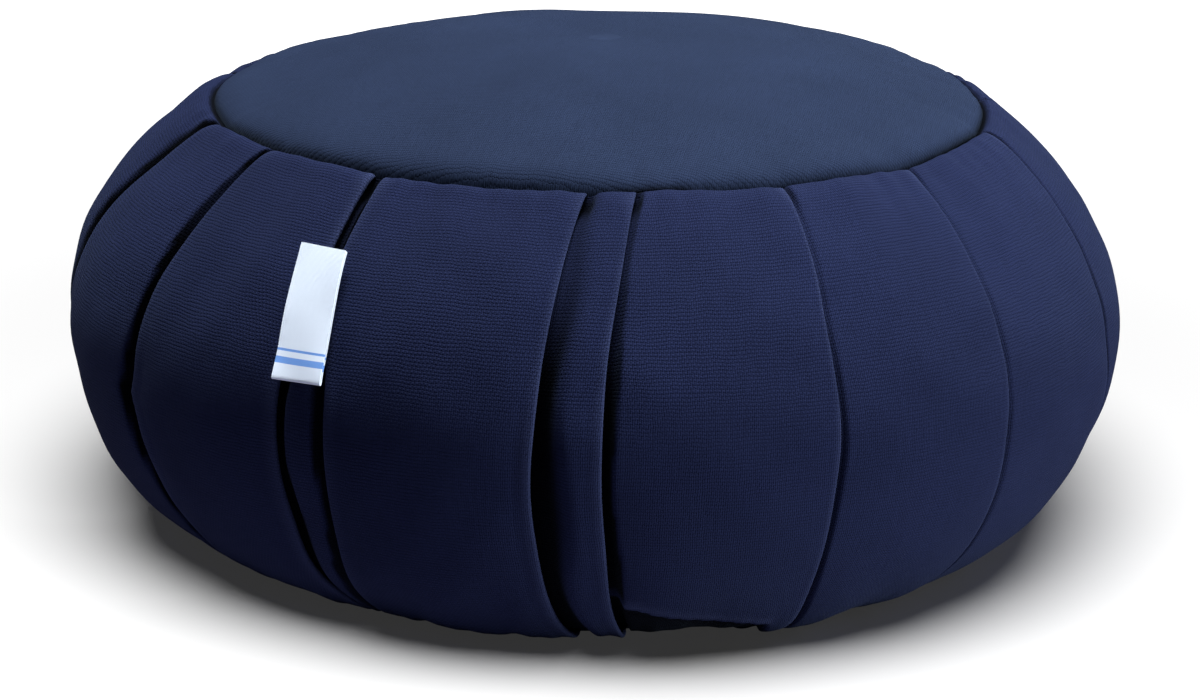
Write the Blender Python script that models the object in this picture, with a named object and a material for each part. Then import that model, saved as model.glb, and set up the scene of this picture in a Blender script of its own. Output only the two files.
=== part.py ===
"""Zafu meditation cushion, filled and standing on a floor.

Four sewn pieces: a round top panel, a round bottom panel, a pleated side band that is modelled together
with the filling as one filled solid, and a small folded label that lies over one pleat.

Metres, +Z up. The origin is on the floor under the middle of the cushion and the front faces -Y.
Azimuths are degrees from the front, positive towards +X.
"""

import math
from collections import namedtuple

import bmesh
import bpy
import numpy as np

# ---------------------------------------------------------------- driving sizes, metres
WIDEST_RADIUS = 0.175  # half of the widest diameter
WIDEST_HEIGHT = 0.0712  # height of the widest ring above the floor
SEAM_RADIUS = 0.1260  # both round panels are sewn in at this radius
SEAM_HEIGHT = 0.1411  # height of the top seam before the thread pulls it in
CROWN = 0.0176  # rise of the top panel above its seam
CROWN_POWER = 2.4  # a higher power is flatter in the middle
CONTACT_RADIUS = 0.1173  # the bottom panel lies flat on the floor inside this radius
LOWER_POWER = 1.86  # power of the curve from the floor to the widest ring
SEAM_SINK = 0.0032  # how far each seam is pulled into the filling
SINK_REACH = 0.0062  # distance over which the cloth comes back out
SHOULDER_SLOPE = math.radians(28)  # fall of the band where it leaves the top seam
SHOULDER_PULL = 0.0316  # how far that slope is held
WALL_PULL = 0.0228  # how far the wall stays upright above the widest ring

# The filling settles unevenly: the outline is a little oval, with three soft corners.
UNEVEN_OVAL = 0.0155
OVAL_AT = math.radians(-22.5)
UNEVEN_THREE = 0.0155
THREE_AT = math.radians(45)

CLOTH = 0.0020  # thickness of a round panel
CLEARANCE = 0.0004  # upright gap between neighbouring pieces, 0.3 mm or more square to sloping cloth
RECESS_GAP = 0.0002  # the filled solid's recess for a round panel starts this far inside the seam
EDGE_GAP = RECESS_GAP + CLEARANCE  # and the panel's own edge lies this far inside it

BAND_LENGTH = 1.250  # the strip that was pleated into the side
FLAT_SPREAD = 0.0012  # half width of a pleat where the stitches press it flat
TURN = 0.0010  # how far the lower cloth shows before it joins its panel
PRESS_LENGTH = 0.0030  # distance from the seam over which a pleat is pressed flat
SEAM_GAPE = 0.0007  # opening of every pleat close to a seam
SEAM_FLAP = 0.0016  # thickness of the folded edge close to a seam
LEAST_FLAP = 0.35  # share of the folded edge's thickness that is left where a pleat stays flat
UPPER_SHARE = 0.1  # the upper cloth rises by this share of a pleat's relief, the lower cloth dips by the rest
FADES_OVER = 0.7  # share of the upper wall over which a pleat's relief fades
DART_RELIEF = 1.0  # next to the top seam every pleat stands out like a small dart
DART_AT = 0.0065
DART_LENGTH = 0.0055
EDGE_ROUND = 0.12  # how far the folded edge rounds off before it turns, as a share of its thickness
EDGE_LENGTH = 1 / 3  # and over what length, as a share of its thickness
LEAST_TUCK = 1.15  # a pleat reaches at least this many times its thickness under its panel
EASE_IN = 0.96  # the upper cloth falls a little towards the edge
EASE_OUT = 0.92  # and the lower cloth rises a little where it comes out
BAND_SWELL = 0.0026  # the middle of a full-width panel stands this far above its deepest pleats
VALLEY_GAPE = 0.0040  # a pleat that gapes this much lies at the bottom of a full valley between its panels
VALLEY_LEAST = 0.3  # and any other pleat in a valley of at least this share
DIP_POWER = 3  # a panel plunges steeply under its neighbour's folded edge
RISE_REACH = 0.012  # and rises gently to its own folded edge
RISE_POWER = 2
FADES_ACROSS = 0.35  # both end within this share of the panel's width from its other side
REACH_WAVES = 2.7  # the reach of a plunge swells and shrinks so many half waves along each half of the wall
REACH_UNEVEN = 0.22
REACH_CLOSING = 0.6  # and it is this much shorter at the seams
WANDER_WAVES = ((1.1, 0.55), (2.3, 0.45), (4.1, 0.30))  # waves of an edge along the wall and their shares
FULL_PANEL = math.radians(24)  # width of a full panel
MOST_SWELL = 1.2  # a wider panel swells at most this much more
SWELL_POWER = 4  # a higher power keeps the swell closer to the seams

# The hem stands clear of the floor beside the narrow front strip.
HEM_LIFT = 0.0050
HEM_LIFT_AT = math.radians(11)
HEM_LIFT_WIDTH = math.radians(8)
HEM_LIFT_REACH = 0.014

LABEL_WIDTH = 0.0160
LABEL_THICKNESS = 0.0012  # woven tape folded double
LABEL_TOP = 0.1210
LABEL_BOTTOM = 0.0876
LABEL_TOP_AT = math.radians(-30.5)
LABEL_BOTTOM_AT = math.radians(-28.8)
LABEL_STAND_OFF = -0.0003  # off the wall: it bridges the valley of the pleat on the edges of both panels

# ---------------------------------------------------------------- how finely the cloth is divided
NEAR_SEAM = (0.0, 0.003, 0.007, 0.014)  # rows of points by distance from a seam
ROWS_BETWEEN = 11
ROUND = 60  # sides of a round panel
PANEL_RINGS = (0.38, 0.66, 0.84, 0.93, 0.975)  # rings of a round panel, as shares of its radius
LABEL_ROWS = 8
WALL_STEPS = 240
SHARP_EDGE = math.radians(50)  # a sharper edge than this is shaded as a fold

RIGHT, LEFT = 1, -1  # the way that a pleat's folded edge points, seen from outside

# One row for each folded edge. Azimuths where it leaves the top seam, crosses the widest ring and
# reaches the bottom seam, the share of the upper wall over which it stays closed, the way it is laid, its
# share of the cloth laid into pleats, at the widest ring the thickness of the folded edge, how far it gapes
# and how far from the edge the panel below plunges, how much of that relief is left in the upper wall, and
# how far the edge wanders off its curve.
Pleat = namedtuple("Pleat", "seam middle foot closed laid share flap gape reach upper wander")
PLEATS = (
    Pleat(-66.0, -76.0, -73.0, 0.00, LEFT, 1.00, 0.0022, 0.0062, 0.0090, 1.00, 0.0010),
    Pleat(-48.8, -52.0, -50.4, 0.00, LEFT, 1.05, 0.0022, 0.0064, 0.0060, 0.80, 0.0014),
    Pleat(-30.7, -31.8, -30.6, 0.45, RIGHT, 0.60, 0.0020, 0.0026, 0.0016, 0.70, 0.0003),
    Pleat(-29.2, -26.3, -28.9, 0.45, LEFT, 0.75, 0.0019, 0.0018, 0.0016, 0.70, 0.0003),
    Pleat(-1.6, -6.0, -1.5, 0.00, RIGHT, 0.90, 0.0021, 0.0026, 0.0022, 0.30, 0.0005),
    Pleat(4.6, 0.5, 4.6, 0.00, RIGHT, 0.50, 0.0019, 0.0034, 0.0018, 0.30, 0.0005),
    Pleat(23.6, 22.8, 24.2, 0.00, RIGHT, 1.00, 0.0014, 0.0006, 0.0010, 0.15, 0.0006),
    Pleat(44.5, 43.0, 44.5, 0.00, RIGHT, 1.00, 0.0010, 0.0002, 0.0010, 0.15, 0.0007),
    Pleat(70.0, 67.5, 68.5, 0.00, RIGHT, 1.00, 0.0014, 0.0008, 0.0014, 0.25, 0.0008),
    Pleat(92.5, 89.5, 91.0, 0.00, RIGHT, 1.05, 0.0020, 0.0018, 0.0020, 0.60, 0.0009),
    Pleat(115.5, 112.0, 113.5, 0.00, RIGHT, 0.95, 0.0021, 0.0036, 0.0034, 0.90, 0.0009),
    Pleat(138.0, 136.0, 138.0, 0.10, RIGHT, 1.05, 0.0020, 0.0014, 0.0018, 0.40, 0.0006),
    Pleat(162.0, 158.5, 161.0, 0.00, RIGHT, 1.00, 0.0020, 0.0030, 0.0028, 0.80, 0.0010),
    Pleat(185.5, 188.0, 186.0, 0.00, LEFT, 0.95, 0.0022, 0.0046, 0.0046, 0.90, 0.0011),
    Pleat(209.0, 211.5, 209.5, 0.15, LEFT, 1.05, 0.0020, 0.0020, 0.0020, 0.50, 0.0008),
    Pleat(232.5, 234.0, 231.5, 0.00, LEFT, 1.00, 0.0021, 0.0034, 0.0034, 0.70, 0.0010),
    Pleat(259.5, 258.5, 258.0, 0.00, LEFT, 1.00, 0.0020, 0.0016, 0.0020, 0.50, 0.0008),
)
NARROW_PANEL = math.radians(9)  # a strip narrower than this gets few points across it
PANEL_POINTS = (0.36, 0.64)  # in the middle of a panel, as shares of its width
STRIP_POINTS = (0.5,)
NEAR_PLUNGE = ((0.6, 0.12), (1.3, 0.28))  # in a plunge, as shares of its reach but at most of the width
NEAR_OWN_FOLD = 0.10  # close to the panel's own folded edge, as a share of its width

Wall = namedtuple("Wall", "length radius height out_radius out_height")


def lower_wall():
    """Radius and height of the band's lower half, from the bottom seam to the widest ring."""
    spread = WIDEST_RADIUS - CONTACT_RADIUS
    start = math.asin(((SEAM_RADIUS - CONTACT_RADIUS) / spread) ** (LOWER_POWER / 2))
    angle = np.linspace(start, math.pi / 2, WALL_STEPS)
    radius = CONTACT_RADIUS + spread * np.sin(angle) ** (2 / LOWER_POWER)
    height = WIDEST_HEIGHT * (1 - np.abs(np.cos(angle)) ** (2 / LOWER_POWER))
    return radius, height


def upper_wall():
    """Radius and height from the widest ring to the top seam, a cubic curve held at both ends."""
    t = np.linspace(0, 1, WALL_STEPS)
    held = (
        (WIDEST_RADIUS, WIDEST_HEIGHT),
        (WIDEST_RADIUS, WIDEST_HEIGHT + WALL_PULL),
        (SEAM_RADIUS + SHOULDER_PULL, SEAM_HEIGHT - SHOULDER_PULL * math.tan(SHOULDER_SLOPE)),
        (SEAM_RADIUS, SEAM_HEIGHT),
    )
    weights = ((1 - t) ** 3, 3 * (1 - t) ** 2 * t, 3 * (1 - t) * t**2, t**3)
    radius = sum(weight * point[0] for weight, point in zip(weights, held))
    height = sum(weight * point[1] for weight, point in zip(weights, held))
    return radius, height


def whole_wall():
    """The band's outline from the bottom seam to the top seam, measured along the cloth."""
    low_radius, low_height = lower_wall()
    high_radius, high_height = upper_wall()
    radius = np.concatenate([low_radius, high_radius[1:]])
    height = np.concatenate([low_height, high_height[1:]])
    step = np.hypot(np.diff(radius), np.diff(height))
    length = np.concatenate([[0.0], np.cumsum(step)])
    along_radius = np.gradient(radius, length)
    along_height = np.gradient(height, length)
    size = np.hypot(along_radius, along_height)
    return Wall(length, radius, height, along_height / size, -along_radius / size)


WALL = whole_wall()
WALL_LENGTH = WALL.length[-1]
WIDEST_AT = WALL.length[WALL_STEPS - 1]


def wall_at(along, field):
    """One value of the wall at a distance along the cloth from the bottom seam."""
    return float(np.interp(along, WALL.length, getattr(WALL, field)))


def outline(azimuth):
    """How far the uneven filling pushes the cloth out or lets it in, as a factor on the radius."""
    oval = UNEVEN_OVAL * math.cos(2 * (azimuth - OVAL_AT))
    return 1 + oval + UNEVEN_THREE * math.cos(3 * (azimuth - THREE_AT))


def middle_of_outline():
    """The middle of the widest ring's box, which the origin stands under."""
    turn = np.linspace(0, 2 * math.pi, 721)
    across = [WIDEST_RADIUS * outline(a) * math.sin(a) for a in turn]
    deep = [-WIDEST_RADIUS * outline(a) * math.cos(a) for a in turn]
    return (max(across) + min(across)) / 2, (max(deep) + min(deep)) / 2


MIDDLE = middle_of_outline()


def placed(azimuth, radius, height):
    """A point of the cushion, with the uneven outline and the lifted hem."""
    off_turn = math.remainder(azimuth - HEM_LIFT_AT, 2 * math.pi) / HEM_LIFT_WIDTH
    off_seam = math.hypot(radius - SEAM_RADIUS, height) / HEM_LIFT_REACH
    lift = HEM_LIFT * math.exp(-(off_turn**2) - off_seam**2)
    reach = radius * outline(azimuth)
    x = reach * math.sin(azimuth) - MIDDLE[0]
    y = -reach * math.cos(azimuth) - MIDDLE[1]
    return (x, y, height + lift)


# ---------------------------------------------------------------- the pleated band
def rows_along():
    """Distances along the cloth of the band's rows, closer together near both seams."""
    ends = np.array(NEAR_SEAM)
    between = np.linspace(ends[-1], WALL_LENGTH - ends[-1], ROWS_BETWEEN + 2)[1:-1]
    return np.concatenate([ends, between, WALL_LENGTH - ends[::-1]])


def towards_seam(along):
    """0 at the widest ring, 1 at the top seam and -1 at the bottom seam."""
    if along > WIDEST_AT:
        return (along - WIDEST_AT) / (WALL_LENGTH - WIDEST_AT)
    return (along - WIDEST_AT) / WIDEST_AT


def smooth(share):
    share = min(max(share, 0.0), 1.0)
    return share * share * (3 - 2 * share)


def fold_azimuth(pleat, position):
    """Where a folded edge lies at a height, near an even curve through its three azimuths."""
    if position > 0:
        opened = min(position / (1 - pleat.closed), 1)
        turn = pleat.middle + (pleat.seam - pleat.middle) * opened**2
    else:
        turn = pleat.middle + (pleat.foot - pleat.middle) * position**2
    number = PLEATS.index(pleat)
    wander = sum(
        share * math.sin(count * math.pi * position + number * (2.1 + count))
        for count, share in WANDER_WAVES
    )
    return math.radians(turn) + pleat.wander * wander * (1 - position**2) / WIDEST_RADIUS


def tuck_depth(pleat, radius):
    """How far a pleat reaches under its panel: the strip's spare length, laid in by shares."""
    spare = BAND_LENGTH - 2 * math.pi * radius
    return pleat.share * spare / 2 / sum(each.share for each in PLEATS)


def valley(pleat, position):
    """How far a pleat lies below the middles of its panels."""
    strength = VALLEY_LEAST + (1 - VALLEY_LEAST) * min(pleat.gape / VALLEY_GAPE, 1)
    fading = 1 - (1 - max(pleat.upper, VALLEY_LEAST)) * smooth(position / FADES_OVER)
    return BAND_SWELL * strength * fading * (1 - abs(position) ** SWELL_POWER)


def plunge(pleat, position):
    """How far from a pleat's folded edge the panel below it plunges."""
    uneven = math.sin(REACH_WAVES * math.pi * position + 2.3 * PLEATS.index(pleat))
    return pleat.reach * (1 + REACH_UNEVEN * uneven) * (1 - REACH_CLOSING * position**2)


def fold_section(pleat, radius, position, from_top, pressed):
    """Across one pleat from left to right: distances from the folded edge and heights off the wall.

    The upper cloth runs to the edge, turns under, goes back to the crease and comes out again as the
    lower cloth.
    """
    closing = position**2
    relief = 1 - (1 - pleat.upper) * smooth(position / FADES_OVER)
    relief += DART_RELIEF * math.exp(-(((from_top - DART_AT) / DART_LENGTH) ** 2))
    flap = (pleat.flap + (SEAM_FLAP - pleat.flap) * closing) * (LEAST_FLAP + (1 - LEAST_FLAP) * relief)
    gape = (pleat.gape + (SEAM_GAPE - pleat.gape) * closing) * relief
    depth = max(tuck_depth(pleat, radius), flap * LEAST_TUCK)
    upper = (flap + gape) * UPPER_SHARE
    under = upper - flap
    lower = under - gape
    crease = (under + lower) / 2
    half_crease = min(gape, SEAM_GAPE) / 2
    section = [
        (-flap, upper * EASE_IN),
        (-flap * EDGE_LENGTH, upper - flap * EDGE_ROUND),
        (0.0, upper - flap / 2),
        (-flap * EDGE_LENGTH, under + flap * EDGE_ROUND),
        (-flap, under),
        (-depth, crease + half_crease),
        (-depth - half_crease, crease),
        (-depth, crease - half_crease),
        (-flap, lower),
        (TURN, lower * EASE_OUT),
    ]
    last = len(section) - 1
    sunk = valley(pleat, position)
    points = []
    for place, (across, off) in enumerate(section):
        flat = FLAT_SPREAD * (2 * place / last - 1)
        points.append((across * pressed + flat * (1 - pressed), (off - sunk) * pressed))
    if pleat.laid == LEFT:
        points = [(-across, off) for across, off in reversed(points)]
    return points


def panel_shares(before, after, width, reaches):
    """Where a panel's points lie across it, from 0 at its left pleat to 1 at its right one."""
    narrow = math.radians(after.middle - before.middle) % (2 * math.pi) < NARROW_PANEL
    middle = STRIP_POINTS if narrow else PANEL_POINTS
    sides = []
    for plunges, reach in ((before.laid == RIGHT, reaches[0]), (after.laid == LEFT, reaches[1])):
        if plunges:
            sides.append([min(near * reach / width, most) for near, most in NEAR_PLUNGE])
        else:
            sides.append([NEAR_OWN_FOLD])
    return [*sides[0], *middle, *(1 - share for share in reversed(sides[1]))]


def panel_between(before, after, left_point, right_point, radius, position, pressed):
    """Azimuths and heights of the points of one panel, between the pleats on its two sides."""
    turn = right_point[0] - left_point[0]
    width = turn * radius
    valleys = [valley(pleat, position) for pleat in (before, after)]
    reaches = [plunge(pleat, position) for pleat in (before, after)]
    points = []
    for share in panel_shares(before, after, width, reaches):
        swell = min(turn / FULL_PANEL, MOST_SWELL) * math.sin(math.pi * share) ** 0.8
        low = valleys[0] * (1 - share) + valleys[1] * share
        off = -low * (1 - swell) * pressed
        for side, point, run in ((0, left_point, share), (1, right_point, 1 - share)):
            level = point[1] + valleys[side] * pressed
            reach, power = (reaches[side], DIP_POWER) if level < 0 else (RISE_REACH, RISE_POWER)
            off += level * math.exp(-((run * width / reach) ** power)) * smooth((1 - run) / FADES_ACROSS)
        points.append((left_point[0] + turn * share, off))
    return points


def band_ring(along):
    """One closed ring of the band: every pleat and panel at one distance along the cloth."""
    radius = wall_at(along, "radius")
    height = wall_at(along, "height")
    out_radius = wall_at(along, "out_radius")
    out_height = wall_at(along, "out_height")
    position = towards_seam(along)
    off_seam = min(along, WALL_LENGTH - along)
    pressed = min(off_seam / PRESS_LENGTH, 1)
    sunk = SEAM_SINK * math.exp(-((off_seam / SINK_REACH) ** 2))
    folds = []
    for pleat in PLEATS:
        edge = fold_azimuth(pleat, position)
        reach = radius * outline(edge)
        section = fold_section(pleat, radius, position, WALL_LENGTH - along, pressed)
        folds.append([(edge + across / reach, off) for across, off in section])
    ring = []
    followed = zip(PLEATS, PLEATS[1:] + PLEATS[:1], folds, folds[1:] + folds[:1])
    for before, after, fold, following in followed:
        first = following[0]
        if following is folds[0]:
            first = (first[0] + 2 * math.pi, first[1])
        ring += fold
        ring += panel_between(before, after, fold[-1], first, radius, position, pressed)
    points = []
    inwards = -math.copysign(sunk, out_height)
    for azimuth, off in ring:
        points.append(placed(azimuth, radius + off * out_radius, height + off * out_height + inwards))
    return points


# ---------------------------------------------------------------- the round panels
def top_height(radius):
    """Height of the top panel's upper face."""
    off_seam = (SEAM_RADIUS - radius) / SINK_REACH
    rise = CROWN * (1 - (radius / SEAM_RADIUS) ** CROWN_POWER)
    return SEAM_HEIGHT + rise - SEAM_SINK * math.exp(-(off_seam**2))


def bottom_height(radius):
    """Height of the bottom panel's lower face: flat on the floor, then rising to its seam."""
    if radius <= CONTACT_RADIUS:
        return 0.0
    rise = (radius - CONTACT_RADIUS) / (SEAM_RADIUS - CONTACT_RADIUS)
    return (WALL.height[0] + SEAM_SINK) * rise**2


def round_ring(radius, height):
    return [placed(2 * math.pi * side / ROUND, radius, height) for side in range(ROUND)]


def panel_rings(edge_gap, face, offset):
    """The rings of one face of a round panel, from the point in its middle out to its edge."""
    radii = [SEAM_RADIUS * share for share in PANEL_RINGS] + [SEAM_RADIUS - edge_gap]
    rings = [round_ring(radius, face(radius) + offset) for radius in radii]
    return [[placed(0.0, 0.0, face(0.0) + offset)]] + rings


# ---------------------------------------------------------------- meshes
def azimuth_of(point):
    return math.atan2(point[0] + MIDDLE[0], -(point[1] + MIDDLE[1])) % (2 * math.pi)


def join_rings(mesh, inner, outer):
    """Faces between two rings of points: a fan from a single point, quads, or a zip.

    The quads of a round panel are split from the inner ring forwards, so that the two sides of the thin
    gap under it have the same facets.
    """
    if len(inner) == 1:
        for a, b in zip(outer, outer[1:] + outer[:1]):
            mesh.faces.new((inner[0], a, b))
        return
    if len(inner) != len(outer):
        zip_rings(mesh, inner, outer)
        return
    for k in range(len(inner)):
        n = (k + 1) % len(inner)
        if len(inner) == ROUND:
            mesh.faces.new((inner[k], outer[k], outer[n]))
            mesh.faces.new((inner[k], outer[n], inner[n]))
        else:
            mesh.faces.new((inner[k], outer[k], outer[n], inner[n]))


def zip_rings(mesh, lower, upper):
    """Triangles between two rings that have different numbers of points, sorted by azimuth."""
    turned = [start_at_front(ring) for ring in (lower, upper)]
    angles = []
    for ring in turned:
        found = [azimuth_of(vert.co) for vert in ring]
        angles.append(found + [found[0] + 2 * math.pi])
        ring.append(ring[0])
    at = [0, 0]
    last = [len(ring) - 1 for ring in turned]
    while at != last:
        low_next = angles[0][at[0] + 1] if at[0] < last[0] else math.inf
        high_next = angles[1][at[1] + 1] if at[1] < last[1] else math.inf
        low, high = turned[0][at[0]], turned[1][at[1]]
        if low_next <= high_next:
            mesh.faces.new((low, turned[0][at[0] + 1], high))
            at[0] += 1
        else:
            mesh.faces.new((low, turned[1][at[1] + 1], high))
            at[1] += 1


def start_at_front(ring):
    """The ring's points in order, starting with the first one past the front."""
    first = min(range(len(ring)), key=lambda k: azimuth_of(ring[k].co))
    return list(ring[first:]) + list(ring[:first])


def solid_from_rings(name, lower, upper, material):
    """A closed solid skinned over two stacks of rings, which meet at their last rings."""
    mesh = bmesh.new()
    stacks = [[[mesh.verts.new(point) for point in ring] for ring in rings] for rings in (lower, upper)]
    for stack in stacks:
        for inner, outer in zip(stack, stack[1:]):
            join_rings(mesh, inner, outer)
    join_rings(mesh, stacks[0][-1], stacks[1][-1])
    return add_object(name, mesh, material)


def add_object(name, mesh, material):
    """An object in the scene with this mesh, its faces pointing out."""
    bmesh.ops.recalc_face_normals(mesh, faces=mesh.faces)
    data = bpy.data.meshes.new(name)
    mesh.to_mesh(data)
    mesh.free()
    data.shade_smooth()
    data.set_sharp_from_angle(angle=SHARP_EDGE)
    data.materials.append(material)
    made = bpy.data.objects.new(name, data)
    bpy.context.scene.collection.objects.link(made)
    return made


def finish(name, colour, roughness):
    """A cotton or woven finish for one piece."""
    material = bpy.data.materials.new(name)
    material.use_nodes = True
    shader = material.node_tree.nodes["Principled BSDF"]
    shader.inputs["Base Color"].default_value = (*colour, 1)
    shader.inputs["Roughness"].default_value = roughness
    shader.inputs["Metallic"].default_value = 0
    return material


# ---------------------------------------------------------------- pieces
def build_body(material):
    """The side band and its filling: the round panels lie in shallow recesses at both ends."""
    recess = CLOTH + CLEARANCE
    lower = panel_rings(RECESS_GAP, bottom_height, recess)
    lower += [band_ring(along) for along in rows_along()]
    upper = panel_rings(RECESS_GAP, top_height, -recess)
    return solid_from_rings("body", lower, upper, material)


def build_top_panel(material):
    under = panel_rings(EDGE_GAP, top_height, -CLOTH)
    over = panel_rings(EDGE_GAP, top_height, 0.0)
    return solid_from_rings("top_panel", under, over, material)


def build_bottom_panel(material):
    under = panel_rings(EDGE_GAP, bottom_height, 0.0)
    over = panel_rings(EDGE_GAP, bottom_height, CLOTH)
    return solid_from_rings("bottom_panel", under, over, material)


def build_label(material):
    """The folded tape, flat across its width and following the wall along its length."""
    upper = WALL.height >= WIDEST_HEIGHT
    faces = ((LABEL_STAND_OFF, (-1, 1)), (LABEL_STAND_OFF + LABEL_THICKNESS, (1, -1)))
    mesh = bmesh.new()
    rings = []
    for share in np.linspace(0, 1, LABEL_ROWS):
        height = LABEL_BOTTOM + (LABEL_TOP - LABEL_BOTTOM) * share
        middle = LABEL_BOTTOM_AT + (LABEL_TOP_AT - LABEL_BOTTOM_AT) * share
        along = float(np.interp(height, WALL.height[upper], WALL.length[upper]))
        radius = wall_at(along, "radius")
        out_radius = wall_at(along, "out_radius")
        out_height = wall_at(along, "out_height")
        half = LABEL_WIDTH / 2 / (radius * outline(middle))
        ring = []
        for off, sides in faces:
            for side in sides:
                point = placed(middle + side * half, radius + off * out_radius, height + off * out_height)
                ring.append(mesh.verts.new(point))
        rings.append(ring)
    for lower, higher in zip(rings, rings[1:]):
        join_rings(mesh, lower, higher)
    mesh.faces.new(rings[0][::-1])
    mesh.faces.new(rings[-1])
    return add_object("label", mesh, material)


def main():
    for item in list(bpy.data.objects):
        bpy.data.objects.remove(item)
    navy = finish("navy_cotton", (0.030, 0.040, 0.105), 0.92)
    white = finish("white_tape", (0.80, 0.83, 0.88), 0.60)
    build_body(navy)
    build_top_panel(navy)
    build_bottom_panel(navy)
    build_label(white)


main()
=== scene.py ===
"""Zafu meditation cushion: navy cotton with a pleated side band, and a small bare label.

Metres, +Z up. The origin is on the floor under the middle of the cushion and the front faces -Y.
Azimuths are degrees from the front, positive towards +X.
"""

import math
from collections import namedtuple

import bmesh
import bpy
import numpy as np
from bpy.props import FloatProperty, FloatVectorProperty, PointerProperty
from mathutils import Matrix, Vector


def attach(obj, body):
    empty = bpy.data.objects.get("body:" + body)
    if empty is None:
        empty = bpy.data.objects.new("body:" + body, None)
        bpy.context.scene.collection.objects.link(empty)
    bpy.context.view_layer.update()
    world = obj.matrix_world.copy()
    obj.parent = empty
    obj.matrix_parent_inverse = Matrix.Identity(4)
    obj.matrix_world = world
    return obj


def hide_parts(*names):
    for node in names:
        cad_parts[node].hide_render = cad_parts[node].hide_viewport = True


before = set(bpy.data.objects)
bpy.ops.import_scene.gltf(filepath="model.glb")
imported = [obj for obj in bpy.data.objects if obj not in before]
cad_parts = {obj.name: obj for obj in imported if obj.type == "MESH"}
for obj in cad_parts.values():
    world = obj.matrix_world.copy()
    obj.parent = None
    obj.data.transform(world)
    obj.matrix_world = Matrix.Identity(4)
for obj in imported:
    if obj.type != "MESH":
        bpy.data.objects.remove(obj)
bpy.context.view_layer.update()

bl_info = {
    "name": "Zafu Cushion",
    "version": (1, 0, 0),
    "blender": (4, 5, 0),
    "location": "3D View > Sidebar > Zafu",
    "description": "Builds a pleated round meditation cushion with woven cotton panels and a folded label",
    "category": "Add Mesh",
}

TAU = 2 * math.pi

# ---------------------------------------------------------------- how the cushion is shaped
RIGHT, LEFT = 1, -1  # the way that a pleat's folded edge points, seen from outside

# One row for each folded edge. Azimuths where it leaves the top seam, crosses the widest ring and
# reaches the bottom seam, the share of the upper wall over which it stays closed, the way it is laid, its
# share of the cloth laid into pleats, at the widest ring the thickness of the folded edge, how far it gapes
# and how far from the edge the panel below plunges, how much of that relief is left in the upper wall, and
# how far the edge wanders off its curve.
Pleat = namedtuple("Pleat", "seam middle foot closed laid share flap gape reach upper wander")
PLEATS = (
    Pleat(-66.0, -76.0, -73.0, 0.00, LEFT, 1.00, 0.0022, 0.0050, 0.0052, 0.80, 0.0010),
    Pleat(-48.8, -52.0, -50.4, 0.00, LEFT, 1.05, 0.0022, 0.0050, 0.0026, 0.45, 0.0014),
    Pleat(-30.7, -31.8, -30.6, 0.45, RIGHT, 0.60, 0.0020, 0.0026, 0.0016, 0.70, 0.0003),
    Pleat(-29.2, -26.3, -28.9, 0.45, LEFT, 0.75, 0.0019, 0.0018, 0.0016, 0.70, 0.0003),
    Pleat(-1.6, -6.0, -1.5, 0.00, RIGHT, 0.90, 0.0019, 0.0034, 0.0050, 0.25, 0.0005),
    Pleat(4.6, 0.5, 4.6, 0.00, RIGHT, 0.50, 0.0018, 0.0026, 0.0014, 0.25, 0.0005),
    Pleat(23.6, 22.8, 24.2, 0.00, RIGHT, 1.00, 0.0011, 0.0003, 0.0008, 0.10, 0.0006),
    Pleat(44.5, 43.0, 44.5, 0.00, RIGHT, 1.00, 0.0009, 0.0002, 0.0008, 0.10, 0.0007),
    Pleat(70.0, 67.5, 68.5, 0.00, RIGHT, 1.00, 0.0014, 0.0008, 0.0014, 0.25, 0.0008),
    Pleat(92.5, 89.5, 91.0, 0.00, RIGHT, 1.05, 0.0020, 0.0018, 0.0020, 0.60, 0.0009),
    Pleat(115.5, 112.0, 113.5, 0.00, RIGHT, 0.95, 0.0021, 0.0036, 0.0034, 0.90, 0.0009),
    Pleat(138.0, 136.0, 138.0, 0.10, RIGHT, 1.05, 0.0020, 0.0014, 0.0018, 0.40, 0.0006),
    Pleat(162.0, 158.5, 161.0, 0.00, RIGHT, 1.00, 0.0020, 0.0030, 0.0028, 0.80, 0.0010),
    Pleat(185.5, 188.0, 186.0, 0.00, LEFT, 0.95, 0.0022, 0.0046, 0.0046, 0.90, 0.0011),
    Pleat(209.0, 211.5, 209.5, 0.15, LEFT, 1.05, 0.0020, 0.0020, 0.0020, 0.50, 0.0008),
    Pleat(232.5, 234.0, 231.5, 0.00, LEFT, 1.00, 0.0021, 0.0034, 0.0034, 0.70, 0.0010),
    Pleat(259.5, 258.5, 258.0, 0.00, LEFT, 1.00, 0.0020, 0.0016, 0.0020, 0.50, 0.0008),
)

CROWN_POWER = 2.4  # a higher power is flatter in the middle
LOWER_POWER = 1.86  # power of the curve from the floor to the widest ring
SHOULDER_SLOPE = math.radians(28)  # fall of the band where it leaves the top seam
SHOULDER_PULL = 0.0316  # how far that slope is held
WALL_PULL = 0.0228  # how far the wall stays upright above the widest ring
CONTACT_RADIUS = 0.1173  # the bottom panel lies flat on the floor inside this radius
LOW_CAP = 0.0045  # the filled side closes this far above the floor, over the bottom panel
HIGH_CAP = 0.0040  # and this far below the height of the top seam, under the top panel

# The filling settles unevenly: the outline is a little oval, with three soft corners.
UNEVEN_OVAL = 0.0155
OVAL_AT = math.radians(-22.5)
UNEVEN_THREE = 0.0155
THREE_AT = math.radians(45)

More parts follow.
